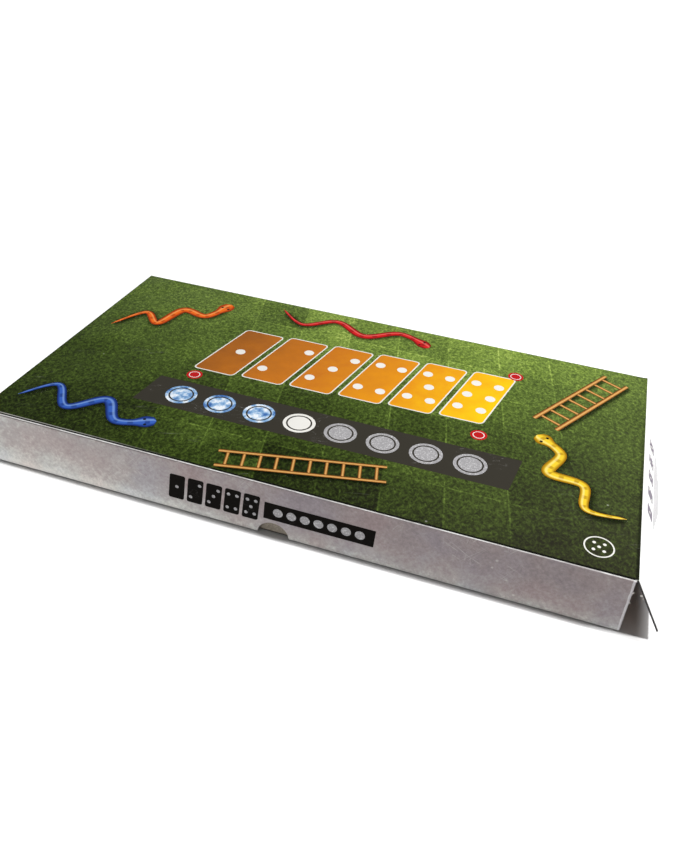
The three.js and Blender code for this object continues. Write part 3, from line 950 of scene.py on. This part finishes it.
def torn_corners():
    """Tufts where the flap's glue let go: by the front and back walls' ends, and on the flap itself."""
    wall_end = Vector((lid_high.x, 0, 0))
    tufts = {
        "upper": ((-0.5, -128.7, 32), (1.1, -0.2, 0.1), 1.6, 2, 5),
        "lower": ((-0.5, -128.7, 25), (1.1, -0.2, 0.1), 1.6, 2, 8),
        "back": ((-0.2, 126, 14), (1.0, 0.4, 0.3), 16, 8, 11),
    }
    for place, (root, reach, run, count, seed) in tufts.items():
        spread = Vector((0, 0, run)) * MM
        torn_fibres(place, "lid", wall_end + Vector(root) * MM, Vector(reach) * MM, spread, count, seed)
    turn = hang.to_3x3() * MM
    root = hang @ (Vector((-0.75, -127.8, -17)) * MM)
    torn_fibres("flap", "end_flap", root, turn @ Vector((-1.7, -0.4, 0.3)), turn @ Vector((0, 0, 5)), 3, 4)


# Printed inks: thin flat patches on the film, drawn in millimetres.

TILE_OUTLINE = 1.1
RIBBON_STEPS = 90
EYE_STEP = 84
SNAKE_BODY = (
    (0.0, 0.06), (0.06, 0.3), (0.3, 0.72), (0.6, 1.0), (0.82, 0.86), (0.88, 0.82),
    (0.94, 1.5), (0.975, 1.2), (0.992, 0.7), (1.0, 0.1),
)


def square_to(way):
    """The way square to another one, in the plane of the print."""
    return Vector((-way.y, way.x, 0)).normalized()


def smooth_line(points, count):
    """Points spread along a smooth line through the given ones, with the way it runs at each."""
    points = [Vector((x * MM, y * MM, 0)) for x, y in points]
    line = []
    for i in range(count + 1):
        share = i / count * (len(points) - 1)
        k = min(int(share), len(points) - 2)
        t = share - k
        start, end = points[k], points[k + 1]
        way_in = (end - points[max(k - 1, 0)]) / 2
        way_out = (points[min(k + 2, len(points) - 1)] - start) / 2
        a = 2 * (start - end) + way_in + way_out
        b = 3 * (end - start) - 2 * way_in - way_out
        line.append((start + way_in * t + b * t ** 2 + a * t ** 3, way_in + 2 * b * t + 3 * a * t ** 2))
    return line


def profile(stops, share):
    """The value at share along a row of (share, value) stops, eased between them."""
    for (first, low), (last, high) in zip(stops, stops[1:]):
        if share <= last:
            t = max(share - first, 0) / (last - first)
            return low + (high - low) * t * t * (3 - 2 * t)
    return stops[-1][1]


def ribbon(finish, points, widths, level, steps=RIBBON_STEPS, slip=(0, 0)):
    """A flat band of ink along a smooth line, as wide as its stops say."""
    band = grid("ink_band", steps, 6)
    line = smooth_line(points, steps)
    offset = Vector((slip[0] * MM, slip[1] * MM, level))
    for vertex in band.data.vertices:
        share = vertex.co.x + 0.5
        point, way = line[min(round(share * steps), steps)]
        vertex.co = point + square_to(way) * vertex.co.y * profile(widths, share) * MM + offset
    return finished(band, finish)


def disc(finish, x, y, radius, level, sides=40):
    spot = circle("ink_spot", sides, radius * MM)
    move(spot, x * MM, y * MM, level)
    return finished(spot, finish)


def ring(finish, x, y, radius, width, level):
    loop = disc(finish, 0, 0, radius, level, 56)
    open_piece(loop)
    bpy.ops.mesh.inset(thickness=width * MM)
    bpy.ops.mesh.delete(type="FACE")
    close_piece()
    move(loop, x * MM, y * MM, 0)
    return loop


def tile(finish, x, y, width, height, slant, corner, level, outline=None):
    """A leaning tile with rounded corners, with or without a pale outline."""
    corner_at = Vector((width, height)) / 2 * MM
    plate = sheet("ink_tile", -corner_at, corner_at, 0)
    bevel(corner * MM, 4, "VERTICES")
    pick_all()
    if outline:
        bpy.ops.mesh.inset(thickness=TILE_OUTLINE * MM)
    close_piece()
    finished(plate, finish)
    if outline:
        finished(plate, outline)
        inner = (width / 2 - TILE_OUTLINE) * 0.4 * MM
        sort_faces(plate, lambda at, normal, held: int(at.xy.length >= inner))
    for vertex in plate.data.vertices:
        vertex.co.x += vertex.co.y * slant
    move(plate, x * MM, y * MM, level)
    return plate


def pips(finish, count, x, y, spread, radius, sides, level, lean=0.0):
    spots = [(x + u * spread[0] + v * lean, y + v * spread[1]) for u, v in pip_places(count)]
    return [disc(finish, *spot, radius, level, sides) for spot in spots]


def pip_places(count):
    spots = [(0, 0)] if count % 2 else []
    for least, pair in ((2, (1, 1)), (4, (-1, 1)), (6, (-1, 0))):
        if count >= least:
            spots += [(-pair[0], -pair[1]), pair]
    return spots


def tile_row(ink, pip_ink, level, count, start, pitch, size, slant, corner, spread, pip, outline=None):
    """A row of tiles, each with one pip more than the one before it."""
    marks = []
    for i in range(count):
        x, y = start[0] + i * pitch[0], start[1] + i * pitch[1]
        marks.append(tile(ink, x, y, *size, slant, corner, level, outline))
        marks += pips(pip_ink, i + 1, x, y, spread, *pip, level + LAYER, spread[1] * slant)
    return marks


def snake(name, finish, points, width, level):
    body = ribbon(finish, points, [(share, part * width) for share, part in SNAKE_BODY], level)
    point, way = smooth_line(points, RIBBON_STEPS)[EYE_STEP]
    eyes = []
    for hand in (-1, 1):
        at = point / MM + square_to(way) * hand * width * 0.36
        eyes.append(disc(eye_ink, at.x, at.y, width * 0.13, level + LAYER / 2, 16))
    return joined(name, [body, *eyes])


def shadow(points, width, level):
    widths = [(0, width * 0.5), (0.15, width), (1, width)]
    return ribbon(soft_shadow, points, widths, level, slip=(1.6, -2.0))


def ladder(name, foot, head, width, rungs, level):
    foot, head = Vector(foot), Vector(head)
    side = square_to(head - foot).xy * width / 2
    poles = []
    for i in range(rungs):
        at = foot + (head - foot) * (i + 0.6) / (rungs + 0.2)
        ends = (at - side * 1.04, at + side * 1.04)
        poles.append(ribbon(wood, ends, ((0, width * 0.15), (1, width * 0.15)), level, 6))
    for hand in (-side, side):
        ends = (foot + hand, head + hand)
        poles.append(ribbon(wood, ends, ((0, width * 0.2), (1, width * 0.18)), level + LAYER / 2, 24))
    return joined(name, poles)


def deepen(piece):
    """Gives a flat patch the thickness of its ink, down into what it is printed on."""
    open_piece(piece)
    extrude(0, 0, -INK)
    face_out()
    close_piece()
    return piece


def printed(piece):
    carried(deepen(piece), "lid", "lid_print")


SERPENTS = {
    "orange": ([(-222, 26), (-205, 58), (-186, 44), (-176, 76), (-152, 74), (-140, 104)], 9.5),
    "red": ([(-92, 116), (-66, 96), (-38, 114), (-8, 98), (22, 116), (52, 102)], 8.5),
    "blue": ([(-226, -102), (-206, -78), (-184, -102), (-160, -82), (-140, -104), (-112, -93)], 9.5),
    "yellow": ([(230, -72), (203, -72), (199, -46), (174, -40), (180, -14), (160, 4)], 10),
}
LID_LADDERS = {
    "back": ((164, 22), (214, 112), 21, 8),
    "front": ((-52, -116), (66, -88), 17, 10),
}
BAND_Y = -53
BAND_START = -112
BAND_PITCH = 33
BADGE = (214, -107)
COUNTERS = ((118, -14), (-116, -22), (132, 84))


def lid_artwork():
    """Snakes, ladders, a row of gold tiles and a dark band of counters on the lid's top."""
    base, first, second, third, fourth = (lid_high.z + LAYER * i for i in range(1, 6))
    shades = []
    for colour, (points, width) in SERPENTS.items():
        shades.append(shadow(points, width * 1.7, base))
        printed(snake("lid_print_snake_" + colour, serpent_inks[colour], points, width, second))
    for place, (foot, head, width, rungs) in LID_LADDERS.items():
        foot, head = Vector(foot), Vector(head)
        side = square_to(head - foot).xy * width / 2
        for hand in (-side, side):
            shades.append(shadow((foot + hand, head + hand), width * 0.5, base))
        printed(ladder("lid_print_ladder_" + place, foot, head, width, rungs, second))
    printed(joined("lid_print_shadows", shades))
    places = {"start": (-97, 27), "pitch": (41, 2.6), "spread": (9.5, 20), "outline": white_ink}
    shape = {"size": (36, 78), "slant": 0.2, "corner": 4, "pip": (4.2, 28)}
    printed(joined("lid_print_tiles", tile_row(gold, white_ink, first, 6, **places, **shape)))
    band = [tile(sheened_band_ink, 5, BAND_Y, width=294, height=38, slant=0.12, corner=0.8, level=base)]
    for i, ink in enumerate([sky] * 3 + [white_ink] + [silver_ink] * 4):
        x = BAND_START + i * BAND_PITCH
        band.append(disc(ink, x, BAND_Y, radius=12.5, level=first))
        band.append(ring(sheened_band_ink, x, BAND_Y, radius=10, width=1.3, level=second))
    printed(joined("lid_print_band", band))
    badge = [ring(white_ink, *BADGE, radius=10, width=1.0, level=first)]
    badge += pips(white_ink, 5, *BADGE, spread=(3.4, 3.4), radius=1.2, sides=20, level=first)
    printed(joined("lid_print_badge", badge))
    dots = []
    for spot in COUNTERS:
        dots.append(disc(red_ink, *spot, radius=6.5, level=third))
        dots.append(ring(white_ink, *spot, radius=4.6, width=0.7, level=fourth))
    printed(joined("lid_print_counters", dots))


FRONT_BAR = (31, 20.5)
FRONT_DOTS = range(1, 71, 10)
FLAP_LINES = range(5)
FLAP_LINE_TOP = -26
FLAP_LINE_PITCH = 2.4


def front_artwork():
    """Black tiles and a black bar with silver pips on the long front wall."""
    places = {"start": (-77, 20), "pitch": (14.4, 0), "spread": (3.2, 6)}
    shape = {"size": (12.2, 22), "slant": 0.1, "corner": 1.6, "pip": (1.35, 18)}
    marks = tile_row(front_black, silver_ink, 0, 5, **places, **shape)
    marks.append(tile(front_black, *FRONT_BAR, width=81, height=15, slant=0.06, corner=0.6, level=0))
    for x in FRONT_DOTS:
        marks.append(disc(silver_ink, x, FRONT_BAR[1], radius=3.6, level=LAYER, sides=28))
    piece = deepen(joined("front_wall_print", marks))
    upright = Matrix.Rotation(QUARTER, 4, "X")
    piece.data.transform(Matrix.Translation((0, lid_low.y - LAYER, wall_low.z)) @ upright)
    carried(piece, "lid", "lid_silver")


def flap_artwork():
    """Small grey tiles and lines on the white end panel."""
    places = {"start": (-38, -17), "pitch": (21, 0), "spread": (3, 3)}
    shape = {"size": (11, 11), "slant": 0, "corner": 1.6, "pip": (1.1, 16)}
    marks = tile_row(flap_grey, white_ink, 0, 5, **places, **shape)
    for i in FLAP_LINES:
        y = FLAP_LINE_TOP - i * FLAP_LINE_PITCH
        marks.append(tile(flap_grey, 4, y, width=100 - i * 14, height=0.9, slant=0, corner=0.2, level=0))
    piece = deepen(joined("flap_print", marks))
    for vertex in piece.data.vertices:
        proud = vertex.co.z + FLAP_INK
        vertex.co = flap_face(vertex.co.x, -vertex.co.y) + Vector((proud, 0, 0))
    piece.data.transform(hang)
    carried(piece, "end_flap", "flap_white")


# Inside the box: insert, folding board, pieces and leaflet.


def card_insert():
    """One strip of white-lined card, creased into two platforms and the well between them."""
    low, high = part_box("card_insert")
    half = INSERT_CARD / 2
    floor = low.z + half
    well = Vector((WELL_HALF + half, high.y, 0))
    insert = sheet("card_insert_strip", -well, well, floor)
    for hand in (-1, 1):
        pick(insert, "EDGE", lambda at: near(at.x, hand * (WELL_HALF + half)))
        extrude(0, 0, high.z - low.z - INSERT_CARD)
        extrude(hand * (high.x - WELL_HALF - INSERT_CARD), 0, 0)
        extrude(0, 0, low.z - high.z + half)
    reach = (WELL_HALF + half, high.x - half)
    levels = (floor, high.z - half)

    def crease(at):
        on_line = any(near(abs(at.x), x) for x in reach) and any(near(at.z, z) for z in levels)
        return on_line and near(at.y, 0)

    pick(insert, "EDGE", crease)
    bevel(INSERT_CREASE, 4)
    close_piece()
    outward(insert, lambda at, normal: near(at.z, floor) and normal.z > 0.9)
    finished(insert, white_card, grey_board, cut_edge)
    thicken(insert, INSERT_CARD, offset=0, inner=1, rim=2)
    smooth(insert)
    carried(insert, "tray", "insert_board", "card_insert")


def board_leaf(leaf, face_up):
    node = f"board_{leaf}_leaf"
    low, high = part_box(node)
    piece = sheet(f"board_{leaf}_half", low, high, low.z)
    bevel(LEAF_CORNER, 5, "VERTICES")
    pick_all()
    extrude(0, 0, high.z - low.z)
    face_out()
    close_piece()
    apply_modifier(piece, "BEVEL", width=LEAF_ROUNDING, segments=3, limit_method="ANGLE")
    finished(piece, wrap, leaf_print(leaf))
    sort_faces(piece, lambda at, normal, held: int(normal.z * face_up > 0.95))
    smooth(piece)
    carried(piece, leaf + "_leaf", "leaf_board", node)


def hinge_tape():
    """Cloth tape glued to both playing faces and doubled over in the fold."""
    low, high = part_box("board_hinge_tape")
    tape = grid("hinge_tape", 8, 24)
    turn = (high.z - low.z - TAPE_CLOTH) / 2
    middle = (low.z + high.z) / 2
    straight = high.y - low.y - turn - TAPE_CLOTH / 2
    for vertex in tape.data.vertices:
        share = (vertex.co.y + 0.5) * 3
        angle = math.pi * min(max(share - 1, 0), 1)
        back = straight * (max(1 - share, 0) + max(share - 2, 0))
        y = low.y + straight - back + turn * math.sin(angle)
        vertex.co = (vertex.co.x * (high.x - low.x), y, middle - turn * math.cos(angle))
    finished(tape, cloth)
    thicken(tape, TAPE_CLOTH, offset=0)
    smooth(tape, 60)
    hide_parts("board_hinge_tape")
    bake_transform(tape)


def square_middle(number):
    """The middle of a numbered square on the open board, in millimetres. Rows run back and forth."""
    row, step = divmod(number - 1, COLUMNS)
    column = step if row % 2 == 0 else COLUMNS - 1 - step
    x = grid_left + (column + 0.5) * grid_column
    rows_past = row - LEAF_ROWS + 0.5
    y = hinge.y + math.copysign(TAPE_COVER, rows_past) + rows_past * grid_row
    return x / MM, y / MM


def on_leaf(piece, leaf):
    """Sets what is drawn on the open board on its leaf: the upper one is folded over on the lower."""
    if leaf == "upper":
        turn = Matrix.Rotation(math.pi, 4, "X")
        piece.data.transform(Matrix.Translation(hinge) @ turn @ Matrix.Translation(-hinge))
    carried(piece, leaf + "_leaf", "leaf_board")


def board_numbers(leaf, numbers, level):
    figures = []
    for number in numbers:
        text = add(bpy.ops.object.text_add, "square_figure").data
        text.body = str(number)
        text.size = FIGURE_SIZE
        text.resolution_u = 2
        text.extrude = INK / 3
        bpy.ops.object.convert(target="MESH")
        x, y = square_middle(number)
        figures.append(bpy.context.object)
        move(figures[-1], x * MM - grid_column * 0.42, y * MM + grid_row * 0.22, level)
    piece = joined("board_numbers_" + leaf, figures)
    open_piece(piece)
    bpy.ops.mesh.remove_doubles(threshold=0.001 * MM)
    close_piece()
    on_leaf(finished(piece, number_ink), leaf)


def winding(start, end, waves, sway):
    """Points on a line that winds from one square to another."""
    first, last = Vector(start), Vector(end)
    side = square_to(last - first).xy
    points = []
    for share in arc(0, 1, waves * 4):
        ease = min(1, 4 * share, 4 * (1 - share))
        swing = sway * ease * math.sin(share * waves * 2 * math.pi)
        points.append(first + (last - first) * share + side * swing)
    return points


CLIMBS = {
    "lower_a": (4, 25), "lower_b": (13, 46), "lower_c": (10, 30),
    "upper_a": (57, 84), "upper_b": (63, 99), "upper_c": (72, 91),
}
CLIMB_WIDTH = 17
CLIMB_RUNGS = 9
SLIDES = {"lower_red": (8, 48), "lower_blue": (15, 43), "upper_yellow": (54, 93), "upper_orange": (60, 97)}
SLIDE_WIDTH = 11
SLIDE_WAVES = 2
SLIDE_SWAY = 13


def playing_faces():
    level = leaf_high.z + LAYER
    on_lower = COLUMNS * LEAF_ROWS
    board_numbers("lower", range(1, on_lower + 1), level)
    board_numbers("upper", range(on_lower + 1, 2 * on_lower + 1), level)
    for name, (foot, head) in CLIMBS.items():
        ends = (square_middle(foot), square_middle(head))
        picture = ladder("board_ladder_" + name, *ends, CLIMB_WIDTH, CLIMB_RUNGS, level + LAYER)
        on_leaf(deepen(picture), name.split("_")[0])
    for name, (tail, head) in SLIDES.items():
        leaf, colour = name.split("_")
        points = winding(square_middle(tail), square_middle(head), SLIDE_WAVES, SLIDE_SWAY)
        picture = snake("board_snake_" + name, serpent_inks[colour], points, SLIDE_WIDTH, level + 3 * LAYER)
        on_leaf(deepen(picture), leaf)


def turned_pawn():
    """A pawn turned up from its foot: rolled rim, hollow waist, collar and round head."""
    head_z = PAWN_HEIGHT - PAWN_HEAD
    neck = math.acos(PAWN_NECK / PAWN_HEAD)
    shoulder = head_z - PAWN_HEAD * math.sin(neck) - 1.5 * MM
    rim = PAWN_FOOT - PAWN_RIM
    thick, proud = PAWN_COLLAR
    bead = [(1 + math.sin(angle), math.cos(angle)) for angle in arc(-QUARTER, QUARTER, 8)]
    stations = [(PAWN_RIM * up, rim + PAWN_RIM * out) for up, out in bead]
    for t in arc(0, 1, 10)[1:]:
        waist = (1 - t) ** 2 * rim + 2 * t * (1 - t) * PAWN_NECK * 0.95 + t * t * PAWN_NECK
        stations.append((2 * PAWN_RIM + (shoulder - 2 * PAWN_RIM) * t, waist))
    stations += [(shoulder + thick * up, PAWN_NECK + proud * out) for up, out in bead]
    for angle in arc(-neck, QUARTER - 0.03, 16):
        stations.append((head_z + PAWN_HEAD * math.sin(angle), PAWN_HEAD * math.cos(angle)))
    height, radius = stations[0]
    pawn = circle("pawn_master", PAWN_SIDES, radius)
    open_piece(pawn)
    for next_height, next_radius in stations[1:]:
        extrude(0, 0, next_height - height)
        resize(next_radius / radius, next_radius / radius, 1)
        height, radius = next_height, next_radius
    pick_all()
    bpy.ops.mesh.remove_doubles(threshold=0.002 * MM)
    face_out()
    pick(pawn, "FACE", lambda at: near(at.z, 0))
    bpy.ops.mesh.inset(thickness=1.4 * MM, depth=0)
    bpy.ops.mesh.inset(thickness=0.4 * MM, depth=-0.7 * MM)
    close_piece()
    smooth(pawn, 40)
    return pawn


PAWN_SPOTS = {
    "red": (-72, -70.5, 0.45),
    "blue": (-36, -42.5, 2.2),
    "yellow": (36, -42.5, -0.6),
    "green": (72, -70.5, 3.6),
}


def lying_pawns():
    """Four copies of one pawn, each on its side, resting on its head and the rim of its foot."""
    master = turned_pawn()
    head_z = PAWN_HEIGHT - PAWN_HEAD
    rim = PAWN_FOOT - PAWN_RIM
    reach = head_z - PAWN_RIM
    lean = math.acos((PAWN_HEAD - PAWN_RIM) / math.hypot(rim, reach)) - math.atan2(reach, rim)
    middle = (-PAWN_HEIGHT / 2 * math.cos(lean), 0, PAWN_HEAD + head_z * math.sin(lean))
    master.data.transform(Matrix.Translation(middle) @ Matrix.Rotation(QUARTER + lean, 4, "Y"))
    for colour, (x, y, turn) in PAWN_SPOTS.items():
        node = "pawn_" + colour
        pawn = master.copy()
        pawn.data = master.data.copy()
        pawn.name = "game_" + node
        bpy.context.collection.objects.link(pawn)
        floor = Matrix.Translation((x * MM, y * MM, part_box(node)[0].z))
        pawn.data.transform(floor @ Matrix.Rotation(turn, 4, "Z"))
        carried(finished(pawn, pawn_plastics[colour]), "tray", colour + "_plastic", node)
    bpy.data.objects.remove(master)


DIE_FACES = (
    (1, (0, 0, 1), (1, 0, 0)),
    (6, (0, 0, -1), (1, 0, 0)),
    (2, (0, -1, 0), (1, 0, 0)),
    (5, (0, 1, 0), (1, 0, 0)),
    (3, (1, 0, 0), (0, 1, 0)),
    (4, (-1, 0, 0), (0, 1, 0)),
)
DIE_TURN = 0.5


def game_die():
    low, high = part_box("die")
    half = DIE_SIZE / 2
    die = add(bpy.ops.mesh.primitive_cube_add, "game_die", size=DIE_SIZE)
    open_piece(die)
    bevel(DIE_ROUNDING, 6)
    close_piece()
    ball = (PIP_RADIUS ** 2 + PIP_DEPTH ** 2) / (2 * PIP_DEPTH)
    measures = {"segments": 28, "ring_count": 20, "radius": ball}
    balls = []
    for count, out, side in DIE_FACES:
        out, side = Vector(out), Vector(side)
        up = out.cross(side)
        for u, v in pip_places(count):
            balls.append(add(bpy.ops.mesh.primitive_uv_sphere_add, "pip_cutter", **measures))
            move(balls[-1], *(out * (half - PIP_DEPTH + ball) + (side * u + up * v) * PIP_PITCH))
    finished(die, ivory, pip_black)
    cut_away(die, joined("pip_cutter", balls))

    def sunk(at, normal, held):
        flats = sorted(abs(part) for part in at)
        return int(flats[2] < half - NEAR / 2 and flats[1] < half - DIE_ROUNDING)

    sort_faces(die, sunk)
    die.data.transform(Matrix.Translation((low + high) / 2) @ Matrix.Rotation(DIE_TURN, 4, "Z"))
    smooth(die, 30)
    carried(die, "tray", "die_plastic", "die")


def rules_leaflet():
    """A sheet folded once, its upper page springing open a little."""
    low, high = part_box("rules_leaflet")
    half = LEAFLET_PAPER / 2
    margin = Vector((0, half, 0))
    fold = low.y + half
    rules = sheet("folded_rules", low + margin, high - margin, low.z + half)
    pick(rules, "EDGE", lambda at: near(at.y, fold))
    extrude(0, 0, high.z - low.z - LEAFLET_PAPER)
    extrude(0, high.y - low.y - LEAFLET_PAPER, 0)
    pick(rules, "EDGE", lambda at: near(at.y, fold) and near(at.x, 0))
    bevel(LEAFLET_CREASE, 4)
    close_piece()
    outward(rules, lambda at, normal: near(at.z, high.z - half) and normal.z > 0.9)
    finished(rules, leaflet_paper(low, high))
    thicken(rules, LEAFLET_PAPER, offset=0)
    smooth(rules)
    carried(rules, "tray", "rules_paper", "rules_leaflet")


# Measures that several pieces share.

lid_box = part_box("lid_top")
lid_low = lid_box[0] + Vector((SKIN, SKIN, 0))
lid_high = lid_box[1] - Vector((0, SKIN, SKIN))
wall_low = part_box("lid_front_wall")[0]
flap_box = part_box("lid_end_flap")
flap_width = flap_box[1].y - flap_box[0].y
flap_axis = Vector(joints["flap_crease"]["pos_m"])
hang_angle = math.radians(joints["flap_crease"]["range_deg"][0])
# Takes a flap that hangs straight down at the origin to where it hangs now.
hang = Matrix.Translation(flap_axis) @ Matrix.Rotation(hang_angle, 4, "Y")
leaf_low, leaf_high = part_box("board_lower_leaf")
hinge = Vector(joints["board_fold"]["pos_m"])
grid_left = leaf_low.x + LEAF_MARGIN
grid_column = (leaf_high.x - leaf_low.x - 2 * LEAF_MARGIN) / COLUMNS
grid_row = (hinge.y - TAPE_COVER - leaf_low.y - LEAF_MARGIN) / LEAF_ROWS

photo_camera()
studio()

grass = grass_print(lid_low, lid_high)
silver = silver_print(wall_low, lid_high)
grey_board = board_finish("grey_board", (96, 89, 79), (134, 126, 114), (166, 158, 146))
tray_lining = board_finish("tray_lining", (118, 110, 98), (150, 142, 130), (178, 171, 160))
cut_edge = board_finish("cut_edge", (92, 88, 83), (124, 119, 113), (160, 155, 149))
# Painted shade: the end flap's cut edges get dark board, so that they look as they do in shade.
shaded_flap_edge = board_finish("shaded_flap_edge", (56, 53, 53), (72, 69, 69), (92, 89, 88))
lid_inside = board_finish("lid_inside", (106, 80, 64), (132, 104, 86), (158, 132, 112))
white_card = board_finish("white_lined_card", (196, 191, 178), (222, 218, 207), (236, 233, 225))
torn_paper = board_finish("torn_paper", (206, 202, 194), (232, 229, 223), (246, 245, 241))
torn = torn_board()
wrap = wrap_paper()
cloth = hinge_cloth()
gold = gold_ink()
sky = sky_ink()
wood = wood_ink()
soft_shadow = shadow_ink()
white_panel = flat_ink("white_panel_print", (248, 248, 246))
flap_grey = flat_ink("flap_grey_ink", (126, 118, 130))
white_ink = flat_ink("white_ink", (240, 238, 232))
# Painted sheen: the black band is a dark grey, its own near-black lightened by the film's reflection
# painted in.
sheened_band_ink = flat_ink("black_band_ink", (57, 54, 47))
front_black = flat_ink("front_black_ink", (20, 18, 16))
silver_ink = flat_ink("silver_counter_ink", (164, 162, 164), 0.6)
red_ink = flat_ink("red_counter_ink", (190, 30, 34))
eye_ink = flat_ink("snake_eye_ink", (24, 22, 20))
number_ink = flat_ink("number_ink", (40, 40, 44))
serpent_inks = {
    "orange": snake_ink("snake_orange_ink", (236, 108, 34), (150, 44, 12), (255, 190, 110)),
    "red": snake_ink("snake_red_ink", (206, 36, 36), (112, 10, 16), (246, 130, 120)),
    "blue": snake_ink("snake_blue_ink", (58, 98, 186), (22, 40, 104), (150, 186, 236)),
    "yellow": snake_ink("snake_yellow_ink", (236, 200, 52), (150, 104, 12), (255, 240, 160)),
}
pawn_plastics = {
    "red": plastic("red_plastic", (196, 24, 28), (236, 150, 146)),
    "blue": plastic("blue_plastic", (24, 70, 168), (150, 176, 224)),
    "yellow": plastic("yellow_plastic", (240, 194, 20), (252, 234, 160)),
    "green": plastic("green_plastic", (22, 128, 56), (150, 206, 166)),
}
ivory = plastic("ivory_plastic", (238, 232, 214), (250, 248, 240))
pip_black = plastic("pip_black_paint", (26, 26, 28), (110, 110, 112))

lid_carton()
end_flap()
tray_carton()
crease_paper()
torn_corners()
lid_artwork()
front_artwork()
flap_artwork()
card_insert()
board_leaf("lower", 1)
board_leaf("upper", -1)
hinge_tape()
playing_faces()
lying_pawns()
game_die()
rules_leaflet()
